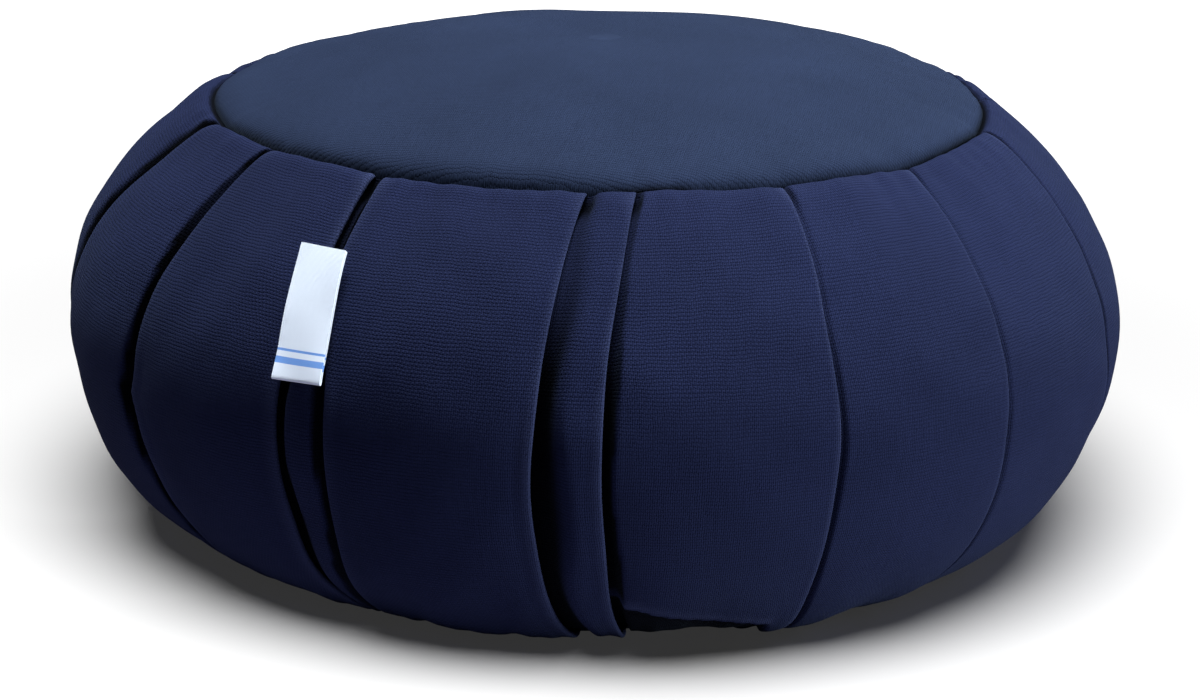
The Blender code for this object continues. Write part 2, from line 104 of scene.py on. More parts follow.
# A pleat, from the upper cloth over the folded edge to the crease and out again as the lower cloth.
FLAT_SPREAD = 0.0012  # half width of a pleat where the stitches press it flat
PRESS_LENGTH = 0.0036  # distance from a seam over which a pleat is pressed flat
SEAM_GAPE = 0.0007  # opening of every pleat close to a seam
SEAM_FLAP = 0.0015  # thickness of the folded edge close to a seam
LEAST_FLAP = 0.35  # share of the folded edge's thickness that is left where a pleat stays flat
LEAST_TUCK = 1.15  # a pleat reaches at least this many times its thickness under its panel
UPPER_SHARE = 0.1  # the upper cloth rises by this share of a pleat's relief, the lower cloth dips by the rest
FADES_OVER = 0.7  # share of the upper wall over which a pleat's relief fades
CLOSING_POWER = 4  # a higher power keeps a pleat open closer to the seams
EASE_IN = ((2.6, 0.90, 0.0), (1.6, 0.98, 0.15))  # thicknesses before the edge, share of its height, wear
WORN_AT = 0.3  # the folded edge is worn most this many radians above its tip
UNDER_AT = 0.55  # the lower cloth comes down at this share of the tuck
UNDER_SHADE = 0.9  # least painted shade there
EDGE_SHADE = 0.5  # and straight under the folded edge
EASE_OUT = ((0.5, 0.98, 0.3), (1.0, 0.95, 0.0))  # shares of the turn and of the dip, and least painted shade
TURN = 0.0010  # how far the lower cloth shows before it joins its panel, more where the pleat gapes
TURN_LEAST = 0.6  # share of it that is left where the pleat is shut
TURN_GAPE = 0.0025  # it grows by one more of itself for each gape of this size
DART_RELIEF = 1.0  # next to the top seam every pleat stands out like a small dart
DART_AT = 0.0065
DART_LENGTH = 0.0055
WANDER_WAVES = ((1.1, 0.55), (2.3, 0.45), (4.1, 0.30))  # waves of an edge along the wall and their shares
WANDER_SHIFT = 2.1  # radians from one pleat's waves to the next one's

# The second folded edge from the left has a kink where the cloth below it is caught.
KINK_PLEAT = 1
KINK_AT = -0.03  # share of the lower wall below the widest ring
KINK_LENGTH = 0.055
KINK_REACH = 0.0024
KINK_POWER = 1.5  # a lower power makes it more pointed

# A panel, which swells between its pleats, plunges under one folded edge and rises to the other.
BAND_SWELL = 0.0026  # the middle of a full-width panel stands this far above its deepest pleats
FULL_PANEL = math.radians(24)  # width of a full panel
MOST_SWELL = 1.2  # a wider panel swells at most this much more
SWELL_POWER = 4  # a higher power keeps the swell closer to the seams
SWELL_ROUND = 0.8  # a lower power keeps it closer to the pleats
VALLEY_GAPE = 0.0040  # a pleat that gapes this much lies at the bottom of a full valley between its panels
VALLEY_LEAST = 0.3  # and any other pleat in a valley of at least this share
DIP_POWER = 3  # a higher power plunges more steeply
RISE_REACH = 0.012  # it rises to its own folded edge over this distance
RISE_POWER = 2
FADES_ACROSS = 0.35  # both end within this share of the panel's width from its other side
REACH_WAVES = 2.7  # the reach of a plunge swells and shrinks so many half waves along each half of the wall
REACH_SHIFT = 2.3  # radians from one pleat's waves to the next one's
REACH_UNEVEN = 0.30  # by this share
REACH_CLOSING = 0.6  # and it is this much shorter at the seams
# Painted shade: the cotton's colour is darkened where a panel plunges under a folded edge.
DARK_DEPTH = 0.0034  # a plunge as deep as this is in full painted shade
DEEP_SHADE = 0.95  # share of the cotton's colour that the painted shade takes away there
SHADE_FROM = 0.03  # the painted shade starts where this share of the plunge's depth is reached
SHADE_OVER = 0.07  # and is full when this much more is reached
SOFT_PLEAT = 4  # on the narrow front strip, under this pleat, it grows softly instead
SOFT_SHADE_OVER = 0.90

# The hem stands clear of the floor beside the narrow front strip.
HEM_LIFT = 0.0024
HEM_LIFT_AT = math.radians(11)
HEM_LIFT_WIDTH = math.radians(8)
HEM_LIFT_REACH = 0.014
HEM_TURN = 0.0385  # the cloth turns under there, this far from the bottom seam, and has painted shade below
HEM_TURN_LEAST = 0.0215  # and this far where the turn ends
HEM_TURN_POWER = 0.8  # a lower power brings it down sooner
HEM_TURN_PLEAT = 5  # it begins under this pleat's folded edge
HEM_TURN_LESS = math.radians(20)  # and fades out between these two azimuths
HEM_TURN_TO = math.radians(23)
HEM_TURN_EDGE = 0.0026  # the cloth rolls under over this distance
HEM_TUCK = 0.0018  # and lies this much deeper below
HEM_WORN_AT = 0.6  # its edge is worn this share of the roll above the turn
HEM_SHADE = 2  # the painted shade below is full wherever at least half of the tuck is reached
FLOOR_GAP = 0.0004  # no part of the side lies lower

# The seams.
SINK_REACH = 0.0030  # the cloth rolls into a seam over this distance
SINK_POWER = 1.3
SLIT_DEPTH = 0.0030  # and at the stitches it drops by this much more
SLIT_REACH = 0.0011
SLIT_POWER = 1.6
SEAM_PART = 0.00035  # each cloth edge lies this far from the seam's line
SCALLOP = 0.0013  # the panels push the top seam up between the pleats
SCALLOP_POWER = 0.6  # a lower power makes each scallop fuller
SCALLOP_REACH = 0.018  # on both sides of the seam
SEAM_WANDER = 0.0003  # and the seam wanders up and down by this much
SEAM_WAVES = (9, 30, 5)  # the fewest and the most waves in a turn, and how many are added up
OPEN_AT = math.radians(-17)  # the top seam gapes most above the wide front panel
OPEN_WIDTH = math.radians(13)
OPEN_MORE = 0.95
CLOSED_AT = math.radians(6.5)  # and it is closed beside the narrow front strip
CLOSED_WIDTH = math.radians(6)
CLOSED_LESS = 0.75
CLOSED_POWER = 4
SIDE_LESS = 0.6  # the top seam gapes less at both sides than at the front and the back
SIDE_POWER = 4
ROLL_LESS = 0.4  # where a seam gapes less, its roll shrinks by this share of what the slit loses

# Small gathers start at each seam, and longer pulls run on into the cloth.
GATHER_WAVES = (48, 120, 7)  # as for the seam
GATHER_FROM = 0.002
GATHER_TO_TOP = 0.010
GATHER_TO_BOTTOM = 0.012
PULL_WAVES = (16, 40, 6)
PULL_FROM = 0.010
PULL_TO = 0.034
PULL_DEPTH = 1.4  # as a share of the gathers' depth
PANEL_GATHER_TO = 0.009  # on the round top panel
PANEL_GATHER_DEPTH = 0.8

# The filling's lumps: shortest and longest wave, and how many are added up.
BIG_LUMPS = (0.045, 0.110, 10)
SMALL_LUMPS = (0.016, 0.040, 10)
SMALL_SHARE = 0.35
BAND_LUMPS = 0.6  # share of the lumps' size that shows on the band
BAND_HELD = 0.012  # the stitches hold the cloth this far from a seam
PANEL_LUMPS = (0.06, 0.14, 8)
PANEL_LUMPS_SHARE = 0.7
PANEL_HELD = 0.020

# ---------------------------------------------------------------- how finely the cloth is divided
BAND_ROWS = 114
ROW_CROWDING = 0.76  # 0 spaces the rows evenly, 1 draws them all to the seams
EDGE_STEPS = 6  # round the folded edge
RETURN_STEPS = 3  # under the fold
PANEL_STEPS = 36
STRIP_STEPS = 12  # across a panel that is narrower than this
NARROW_PANEL = math.radians(9)
COLUMN_CROWDING = 0.55  # draws a panel's columns towards its two edges
WALL_STEPS = 400  # along each half of the wall's curve
OUTLINE_STEPS = 721  # round the outline, to find its middle
ROUND_SIDES = 288
ROUND_RINGS = 44
RING_CROWDING = 1.9  # draws a round panel's rings towards its edge
CLOTH_JUMP = 0.1  # neighbouring points whose places differ by more than this lie on two stretches of cloth
LABEL_STEPS = (20, 44)  # across and along
FOLD_STEPS = 6
SHARP_EDGE = math.radians(60)  # a sharper edge of the tape than this is shaded as one

# ---------------------------------------------------------------- the label's place and shape
LABEL_TOP = 0.1210
LABEL_BOTTOM = 0.0876
LABEL_TOP_AT = math.radians(-30.5)
LABEL_BOTTOM_AT = math.radians(-28.8)
LABEL_TOP_SLANT = 0.0003  # the right end of the tape's top edge lies this much lower than its middle
LABEL_BOTTOM_SLANT = -0.0003  # and the right end of its fold this much higher
LABEL_STAND_OFF = 0.0002  # the tape's back stands off the wall by this much
LABEL_STIFF = 0.0016  # the stiff tape's two ends stand off the curved wall by this much more
LABEL_LENGTH = 0.0415  # of each of its two layers
TAPE_SHARE = 0.42  # thickness of one layer as a share of the folded label's
FOLD_AT = 0.03  # the tape starts to turn at this share of the label's height
CORNER_LIFT = 0.0008  # its corners at the fold curl away from the wall
CORNER_LENGTH = 0.30  # over this share of its height
RIPPLE = 0.00025  # its two long edges ripple against each other
RIPPLE_TURN = 7.5  # radians along the label
RIPPLE_START = 0.8
TWIST = 0.0005  # and it is a little twisted
TWIST_TURN = 2.2
BELLY = 0.00035  # the front layer stands off the back one in its middle

# The plain bands woven into the tape: middle above the fold and half width.
LABEL_BANDS = ((0.0058, 0.0011), (0.0092, 0.0004))

# ---------------------------------------------------------------- the weave and the wear
THREAD_DRIFT = 1.4  # the threads wander over so many pitches at most
THREAD_CROSSING = 1.6  # a higher value makes them cross more sharply
THREAD_ROUND = 0.6  # a lower power makes them flatter on top
SLUBS = (((1, 14, 1), 110), ((14, 1, 1), 90))  # the thick places of both sets: squeeze and scale
SLUB_HEIGHT = 0.8
THREAD_SHADE = 0.75  # how much the height of the threads changes their shade
BETWEEN_THREADS = 0.62  # the cotton's colour between the threads, as a share of its own
ON_THREADS = 1.30  # and on top of them
TONE_LEAST = 0.78  # its tone varies from about here
TONE_SHARE = 0.45  # by this much
WEAR_START = -0.05  # added to the tone that makes the wear patchy
WEAR_SHARE = 0.75  # how far full wear goes towards its own colour
TAPE_PITCHES = (0.00022, 0.00032)  # distances between the tape's threads, up and across
TAPE_RELIEF = 0.00008
TAPE_BETWEEN = 0.86  # the tape's colour between its threads, as a share of its own
BLUE_SHARE = 0.9  # how much of the tape's white its blue bands cover

# ---------------------------------------------------------------- the stage
# One row for each lamp. Where it stands round the cushion and above it, in degrees, and its power in watts.
Lamp = namedtuple("Lamp", "name azimuth elevation watts")
LAMPS = (
    Lamp("low_right", 69, 15, 67),
    Lamp("high_right", 82, 58, 13),
    Lamp("back_left", -125, 52, 25),
    Lamp("back", 180, 82, 104),
)
LAMP_DISTANCE = 2.0
LAMP_SIZE = 0.9
LAMP_AIM = 0.09  # height above the floor of the point that all lamps are aimed at
FLOOR_LAMP = Lamp("overhead", 2, 66, 59)
FLOOR_LAMP_SIZE = 1.65
FLOOR_GLOW = 0.03  # painted light: the floor glows to the camera with this strength, for the light a large pale room sends into the cushion's shadow
GLOW_FROM = 0.20  # away from the cushion it grows between these two distances
GLOW_TO = 1.00
GLOW_FAR = 1.00  # to this strength
FLOOR_SIZE = 12.0
FLOOR_COLOUR = (0.93, 0.93, 0.93, 1)
FLOOR_BOUNCE = (0.53, 0.49, 0.62, 1)  # what the cushion sees of the floor: a dimmer, violet copy of its colour

CAMERA_PLACE = (0.0003, -0.8858, 0.3317)  # before the cushion is centred on the origin
CAMERA_TILT = math.radians(17.555)
CAMERA_ROLL = math.radians(1.111)
CAMERA_LENS = 82.55
FILM_WIDTH = 36.0


# ---------------------------------------------------------------- sizes and colours a user would change
class ZafuSizes(bpy.types.PropertyGroup):
    widest_radius: FloatProperty(
        name="Widest radius", description="Half of the widest diameter",
        default=0.175, unit="LENGTH")
    widest_height: FloatProperty(
        name="Widest height", description="Height of the widest ring above the floor",
        default=0.0712, unit="LENGTH")
    seam_radius: FloatProperty(
        name="Seam radius", description="Both round panels are sewn in at this radius",
        default=0.126, unit="LENGTH")
    seam_height: FloatProperty(
        name="Seam height", description="Height of the top seam before the thread pulls it in",
        default=0.1411, unit="LENGTH")
    crown: FloatProperty(
        name="Crown", description="Rise of the top panel above its seam",
        default=0.0176, unit="LENGTH")
    seam_sink: FloatProperty(
        name="Seam sink", description="How far each seam is pulled into the filling",
        default=0.0027, unit="LENGTH")
    band_length: FloatProperty(
        name="Band length", description="Length of the strip that is pleated into the side",
        default=1.25, unit="LENGTH")
    cloth: FloatProperty(
        name="Cloth", description="Thickness of a round panel with its turned edge",
        default=0.0014, unit="LENGTH")
    pucker: FloatProperty(
        name="Pucker", description="Depth of the small gathers along the seams",
        default=0.00045, unit="LENGTH", precision=5)
    lumps: FloatProperty(
        name="Lumps", description="How far the filling pushes the cloth out unevenly",
        default=0.0010, unit="LENGTH", precision=5)
    label_width: FloatProperty(
        name="Label width", description="Width of the woven tape",
        default=0.016, unit="LENGTH")
    label_thickness: FloatProperty(
        name="Label thickness", description="Thickness of the tape folded double",
        default=0.0012, unit="LENGTH")


class ZafuFinish(bpy.types.PropertyGroup):
    # lighter and greener than the band's navy: partly the cloth's own hue, partly painted light from above
    panel_navy_and_painted_light: FloatVectorProperty(
        name="Panel navy", description="Colour of the round panels", subtype="COLOR",
        size=3, min=0, max=1, default=(0.0098, 0.0156, 0.0352))
    navy: FloatVectorProperty(
        name="Navy", description="Colour of the cotton", subtype="COLOR",
        size=3, min=0, max=1, default=(0.0077, 0.0110, 0.0333))
    worn: FloatVectorProperty(
        name="Worn edge", description="Colour of the cotton on its folded edges", subtype="COLOR",
        size=3, min=0, max=1, default=(0.034, 0.045, 0.100))
    label_white: FloatVectorProperty(
        name="Label white", description="Colour of the woven tape", subtype="COLOR",
        size=3, min=0, max=1, default=(0.63, 0.73, 0.85))
    label_blue: FloatVectorProperty(
        name="Label blue", description="Colour of the plain bands woven into the tape", subtype="COLOR",
        size=3, min=0, max=1, default=(0.03, 0.20, 0.62))
    warp_pitch: FloatProperty(
        name="Warp pitch", description="Distance between the threads that run up the side",
        default=0.00062, unit="LENGTH", precision=5)
    weft_pitch: FloatProperty(
        name="Weft pitch", description="Distance between the threads that run round the side",
        default=0.00105, unit="LENGTH", precision=5)


# ---------------------------------------------------------------- the form, worked out from the sizes
class Form:
    """The cushion's outline and its seams."""

    def __init__(self, sizes):
        self.sizes = sizes
        low_radius, low_height = self.lower_wall()
        high_radius, high_height = self.upper_wall()
        self.radius = np.concatenate([low_radius, high_radius[1:]])
        self.height = np.concatenate([low_height, high_height[1:]])
        step = np.hypot(np.diff(self.radius), np.diff(self.height))
        self.along = np.concatenate([[0.0], np.cumsum(step)])
        along_radius = np.gradient(self.radius, self.along)
        along_height = np.gradient(self.height, self.along)
        size = np.hypot(along_radius, along_height)
        self.out_radius = along_height / size
        self.out_height = -along_radius / size
        self.length = self.along[-1]
        self.widest_at = self.along[WALL_STEPS - 1]
        turn = np.linspace(0, TAU, OUTLINE_STEPS)
        reach = sizes.widest_radius * self.outline(turn)
        across, deep = reach * np.sin(turn), -reach * np.cos(turn)
        self.middle = ((across.max() + across.min()) / 2, (deep.max() + deep.min()) / 2)

    def lower_wall(self):
        """Radius and height of the band's lower half, from the bottom seam to the widest ring."""
        sizes = self.sizes
        spread = sizes.widest_radius - CONTACT_RADIUS
        start = math.asin(((sizes.seam_radius - CONTACT_RADIUS) / spread) ** (LOWER_POWER / 2))
        angle = np.linspace(start, math.pi / 2, WALL_STEPS)
        radius = CONTACT_RADIUS + spread * np.sin(angle) ** (2 / LOWER_POWER)
        height = sizes.widest_height * (1 - np.abs(np.cos(angle)) ** (2 / LOWER_POWER))
        return radius, height

    def upper_wall(self):
        """Radius and height from the widest ring to the top seam, a cubic curve held at both ends."""
        sizes = self.sizes
        t = np.linspace(0, 1, WALL_STEPS)
        held = (
            (sizes.widest_radius, sizes.widest_height),
            (sizes.widest_radius, sizes.widest_height + WALL_PULL),
            (sizes.seam_radius + SHOULDER_PULL, sizes.seam_height - SHOULDER_PULL * math.tan(SHOULDER_SLOPE)),
            (sizes.seam_radius, sizes.seam_height),
        )
        weights = ((1 - t) ** 3, 3 * (1 - t) ** 2 * t, 3 * (1 - t) * t**2, t**3)
        radius = sum(weight * point[0] for weight, point in zip(weights, held))
        height = sum(weight * point[1] for weight, point in zip(weights, held))
        return radius, height

    def wall(self, along):
        """Radius, height and outward direction at distances along the cloth from the bottom seam."""
        fields = (self.radius, self.height, self.out_radius, self.out_height)
        return [np.interp(along, self.along, field) for field in fields]

    def outline(self, azimuth):
        """How far the uneven filling pushes the cloth out or lets it in, as a factor on the radius."""
        oval = UNEVEN_OVAL * np.cos(2 * (azimuth - OVAL_AT))
        return 1 + oval + UNEVEN_THREE * np.cos(3 * (azimuth - THREE_AT))

    def placed(self, azimuth, radius, height):
        """Points of the cushion, with the uneven outline and the lifted hem."""
        off_turn = wrapped(azimuth - HEM_LIFT_AT) / HEM_LIFT_WIDTH
        off_seam = np.hypot(radius - self.sizes.seam_radius, height) / HEM_LIFT_REACH
        lift = HEM_LIFT * np.exp(-(off_turn**2) - off_seam**2)
        reach = radius * self.outline(azimuth)
        x = reach * np.sin(azimuth) - self.middle[0]
        y = -reach * np.cos(azimuth) - self.middle[1]
        return np.stack(np.broadcast_arrays(x, y, height + lift), axis=-1)

    def top_height(self, radius):
        """Height of the top panel's upper face, without its seam."""
        share = np.clip(radius / self.sizes.seam_radius, 0, 1)
        return self.sizes.seam_height + self.sizes.crown * (1 - share**CROWN_POWER)

    def bottom_height(self, radius):
        """Height of the bottom panel's lower face: flat on the floor, then rising to its seam."""
        rise = np.clip((radius - CONTACT_RADIUS) / (self.sizes.seam_radius - CONTACT_RADIUS), 0, 1)
        return (self.height[0] + self.sizes.seam_sink) * rise**2


def wrapped(angle):
    """An angle between minus half a turn and half a turn."""
    return (angle + math.pi) % TAU - math.pi


def smooth(share):
    """Eases from 0 to 1 as the share goes from 0 to 1."""
    share = np.clip(share, 0, 1)
    return share * share * (3 - 2 * share)


def waves(azimuth, low, high, count, seed):
    """Uneven waves round the cushion, about -1 to 1, with between low and high waves in a turn."""
    draw = np.random.default_rng(seed)
    total = 0
    for number in draw.integers(low, high, count):
        total = total + np.sin(number * azimuth + draw.uniform(0, TAU)) * draw.uniform(0.6, 1.0)
    return total / math.sqrt(count)


def lumps_at(points, shortest, longest, count, seed):
    """Soft lumps in space, about -1 to 1, with wave lengths between the two given ones."""
    draw = np.random.default_rng(seed)
    total = np.zeros(points.shape[:-1])
    for _ in range(count):
        direction = draw.normal(size=3)
        direction *= TAU / draw.uniform(shortest, longest) / np.linalg.norm(direction)
        total += np.sin(points @ direction + draw.uniform(0, TAU))
    return total / math.sqrt(count)


# ---------------------------------------------------------------- the pleated band
def band_rows(form):
    """Distances along the cloth of the band's rows, closer together near both seams."""
    t = np.linspace(0, 1, BAND_ROWS)
    return form.length * (t - ROW_CROWDING * np.sin(TAU * t) / TAU)


def fold_azimuths(form, pleat, position):
    """Where a folded edge lies in each row, near an even curve through its three azimuths."""
    opened = np.minimum(np.maximum(position, 0) / (1 - pleat.closed), 1)
    shut = np.minimum(position, 0)
    turn = pleat.middle + (pleat.seam - pleat.middle) * opened**2 + (pleat.foot - pleat.middle) * shut**2
    number = PLEATS.index(pleat)
    wander = sum(
        share * np.sin(count * math.pi * position + number * (WANDER_SHIFT + count))
        for count, share in WANDER_WAVES
    )
    aside = pleat.wander * wander * (1 - position**2)
    if number == KINK_PLEAT:
        aside = aside - KINK_REACH * np.exp(-np.abs((position - KINK_AT) / KINK_LENGTH) ** KINK_POWER)
    return np.radians(turn) + aside / form.sizes.widest_radius


def fold_section(form, pleat, radius, position, from_top, pressed):
    """Across one pleat, for each row: distances from the folded edge and heights off the wall.

    The upper cloth runs to the edge, turns under, goes back to the crease and comes out again as the
    lower cloth. The last array marks the folded edge with 1 for wear, the crease with -1 for painted shade.
    """
    closing = position**CLOSING_POWER
    relief = 1 - (1 - pleat.upper) * smooth(position / FADES_OVER)
    relief = relief + DART_RELIEF * np.exp(-(((from_top - DART_AT) / DART_LENGTH) ** 2))
    flap = (pleat.flap + (SEAM_FLAP - pleat.flap) * closing) * (LEAST_FLAP + (1 - LEAST_FLAP) * relief)
    gape = (pleat.gape + (SEAM_GAPE - pleat.gape) * closing) * relief
    spare = form.sizes.band_length - TAU * radius
    depth = pleat.share * spare / 2 / sum(each.share for each in PLEATS)
    depth = np.maximum(depth, flap * LEAST_TUCK)
    upper = (flap + gape) * UPPER_SHARE
    roll = flap / 2
    lower = upper - flap - gape
    crease = upper - flap - gape / 2
    half_crease = np.minimum(gape, SEAM_GAPE) / 2
    zero = np.zeros_like(flap)
    section = [(-before * flap, upper * rise, zero + worn) for before, rise, worn in EASE_IN]
    for step in range(EDGE_STEPS + 1):
        turn = math.pi / 2 - math.pi * step / EDGE_STEPS
        worn = zero + math.sqrt(max(0.0, math.cos(turn - WORN_AT)))
        section.append((-roll + roll * math.cos(turn), upper - roll + roll * math.sin(turn), worn))
    # under the fold the painted shade deepens to full at the crease
    for step in range(1, RETURN_STEPS + 1):
        share = step / RETURN_STEPS
        under = (upper - flap) * (1 - share) + (crease + half_crease) * share
        section.append((-roll - (depth - roll) * share, under, zero - share))
    section.append((-depth - half_crease, crease, zero - 1))
    section.append((-depth, crease - half_crease, zero - 1))
    # painted shade on the lower cloth, full where it lies as deep as DARK_DEPTH
    shade = np.clip(-lower / DARK_DEPTH, 0, 1)
    section.append((-depth * UNDER_AT, (crease + lower) / 2, zero - UNDER_SHADE))
    section.append((-roll, lower, -np.maximum(shade, EDGE_SHADE)))
    turn = TURN * (TURN_LEAST + gape / TURN_GAPE)
    for out, dip, least in EASE_OUT:
        section.append((turn * out, lower * dip, -np.maximum(shade, least)))
    across, off, mark = (np.stack(values, axis=1) for values in zip(*section))
    flat = FLAT_SPREAD * np.linspace(-1, 1, len(section))
    press = pressed[:, None]
    across = across * press + flat * (1 - press)
    off = off * press - valley(pleat, position)[:, None] * press
    if pleat.laid == LEFT:
        across, off, mark = -across[:, ::-1], off[:, ::-1], mark[:, ::-1]
    return across, off, mark


def plunge(pleat, position):
    """How far from a pleat's folded edge the panel below it plunges, in each row."""
    uneven = np.sin(REACH_WAVES * math.pi * position + REACH_SHIFT * PLEATS.index(pleat))
    return pleat.reach * (1 + REACH_UNEVEN * uneven) * (1 - REACH_CLOSING * position**CLOSING_POWER)


def valley(pleat, position):
    """How far a pleat lies below the middles of its panels, in each row."""
    strength = VALLEY_LEAST + (1 - VALLEY_LEAST) * min(pleat.gape / VALLEY_GAPE, 1)
    fading = 1 - (1 - max(pleat.upper, VALLEY_LEAST)) * smooth(position / FADES_OVER)
    return BAND_SWELL * strength * fading * (1 - np.abs(position) ** SWELL_POWER)


def panel_between(before, after, valleys, reaches, shades, steps, radius, pressed):
    """Azimuths and heights of one panel's points, between the pleats on its two sides."""
    share = (np.arange(steps) + 1) / (steps + 1)
    share = share - COLUMN_CROWDING * np.sin(TAU * share) / TAU
    width = after[0] - before[0]
    azimuth = before[0][:, None] + width[:, None] * share
    swell = np.minimum(width / FULL_PANEL, MOST_SWELL)[:, None] * np.sin(math.pi * share) ** SWELL_ROUND
    low = valleys[0][:, None] * (1 - share) + valleys[1][:, None] * share
    off = -low * (1 - swell) * pressed[:, None]
    mark = np.zeros_like(off)
    for side, run in ((0, share), (1, 1 - share)):
        level = (before, after)[side][1] + valleys[side] * pressed
        away = run * (radius * width)[:, None]
        reach = np.where(level < 0, reaches[side], RISE_REACH)[:, None]
        power = np.where(level < 0, DIP_POWER, RISE_POWER)[:, None]
        fading = np.exp(-((away / reach) ** power)) * smooth((1 - run) / FADES_ACROSS)
        off = off + level[:, None] * fading
        # painted shade where the panel plunges under a folded edge
        shade = smooth((fading - SHADE_FROM) / shades[side])
        mark = mark - shade * np.clip(-level / DARK_DEPTH, 0, 1)[:, None]
    return azimuth, off, np.clip(mark, -1, 0)


def band_grid(form):
    """Azimuths, heights off the wall and fold marks of the whole band, a row for each distance along.

    Also the column in the middle of each panel and the column at the bottom of each crease.
    """
    along = band_rows(form)
    radius = form.wall(along)[0]
    high = (along - form.widest_at) / (form.length - form.widest_at)
    low = (along - form.widest_at) / form.widest_at
    position = np.where(along > form.widest_at, high, low)
    off_seam = np.minimum(along, form.length - along)
    pressed = smooth(off_seam / PRESS_LENGTH)
    folds = []
    for pleat in PLEATS:
        edge = fold_azimuths(form, pleat, position)
        reach = radius * form.outline(edge)
        across, off, mark = fold_section(form, pleat, radius, position, form.length - along, pressed)
        folds.append((edge[:, None] + across / reach[:, None], off, mark))
    blocks, middles, creases, column = [], [], [], 0
    for number, (fold, following) in enumerate(zip(folds, folds[1:] + folds[:1])):
        before = (fold[0][:, -1], fold[1][:, -1])
        turn = TAU if following is folds[0] else 0
        after = (following[0][:, 0] + turn, following[1][:, 0])
        widest = float((after[0] - before[0]).max())
        steps = STRIP_STEPS if widest < NARROW_PANEL else PANEL_STEPS
        creases.append(column + int(fold[2][0].argmin()))
        column += fold[0].shape[1]
        middles.append(column + steps // 2)
        column += steps
        pair = [PLEATS[k % len(PLEATS)] for k in (number, number + 1)]
        valleys = [valley(pleat, position) for pleat in pair]
        reaches = [plunge(pleat, position) for pleat in pair]
        shades = [SOFT_SHADE_OVER if pleat is PLEATS[SOFT_PLEAT] else SHADE_OVER for pleat in pair]
        blocks += [fold, panel_between(before, after, valleys, reaches, shades, steps, radius, pressed)]
    # the marks: wear on the folded edges above 0, painted shade below 0
    azimuth, off, mark = (np.concatenate([block[k] for block in blocks], axis=1) for k in range(3))
    return along, azimuth, off, mark, middles, creases


def seam_wave(azimuth, off_seam):
    """How far the panels push the top seam, and the cloth near it, up between the pleats."""
    edges = np.radians(sorted(pleat.seam for pleat in PLEATS))
    edges = np.append(edges, edges[0] + TAU)
    turned = (azimuth - edges[0]) % TAU + edges[0]
    at = np.clip(np.searchsorted(edges, turned, side="right") - 1, 0, len(edges) - 2)
    share = (turned - edges[at]) / (edges[at + 1] - edges[at])
    width = np.minimum((edges[at + 1] - edges[at]) / FULL_PANEL, 1)
    scallops = SCALLOP * width * np.sin(math.pi * np.clip(share, 0, 1)) ** SCALLOP_POWER
    return (scallops + SEAM_WANDER * waves(azimuth, *SEAM_WAVES, seed=3)) * np.exp(-off_seam / SCALLOP_REACH)


def seam_drop(form, azimuth, off_seam):
    """How far the cloth drops into the top seam, which gapes more above the wide front panel."""
    more = OPEN_MORE * np.exp(-((wrapped(azimuth - OPEN_AT) / OPEN_WIDTH) ** 2))
    less = CLOSED_LESS * np.exp(-((wrapped(azimuth - CLOSED_AT) / CLOSED_WIDTH) ** CLOSED_POWER))
    less = less + SIDE_LESS * np.sin(azimuth) ** SIDE_POWER
    slit = SLIT_DEPTH * (1 + more - less) * np.exp(-((off_seam / SLIT_REACH) ** SLIT_POWER))
    return (1 + more - ROLL_LESS * less) * seam_roll(form, off_seam) + slit


def seam_roll(form, off_seam):
    """How far the cloth rolls into a seam that gapes evenly."""
    return form.sizes.seam_sink * np.exp(-((off_seam / SINK_REACH) ** SINK_POWER))


def seam_gathers(form, azimuth, off_seam, reach, seed):
    """How far the band's cloth rises and dips in its gathers and pulls along a seam."""
    near = np.exp(-off_seam / reach) * (1 - np.exp(-off_seam / GATHER_FROM))
    far = smooth(off_seam / PULL_FROM) * np.exp(-off_seam / PULL_TO)
    gathers = near * waves(azimuth, *GATHER_WAVES, seed=seed)
    pulls = far * waves(azimuth, *PULL_WAVES, seed=seed + 2)
    return form.sizes.pucker * (gathers + PULL_DEPTH * pulls)


def hem_turn(azimuth, creases):
    """How far from the bottom seam the lifted hem turns under, and how much there is of it."""
    turn = wrapped(azimuth)
    begins = math.radians(PLEATS[HEM_TURN_PLEAT].foot)
    share = np.clip((turn - begins) / (HEM_TURN_TO - begins), 0, 1)
    column = np.arange(azimuth.shape[1])
    below = (column > creases[HEM_TURN_PLEAT]) & (column < creases[HEM_TURN_PLEAT + 1])
    there = below * (1 - smooth((turn - HEM_TURN_LESS) / (HEM_TURN_TO - HEM_TURN_LESS)))
    return (HEM_TURN + (HEM_TURN_LEAST - HEM_TURN) * share**HEM_TURN_POWER) * there, there


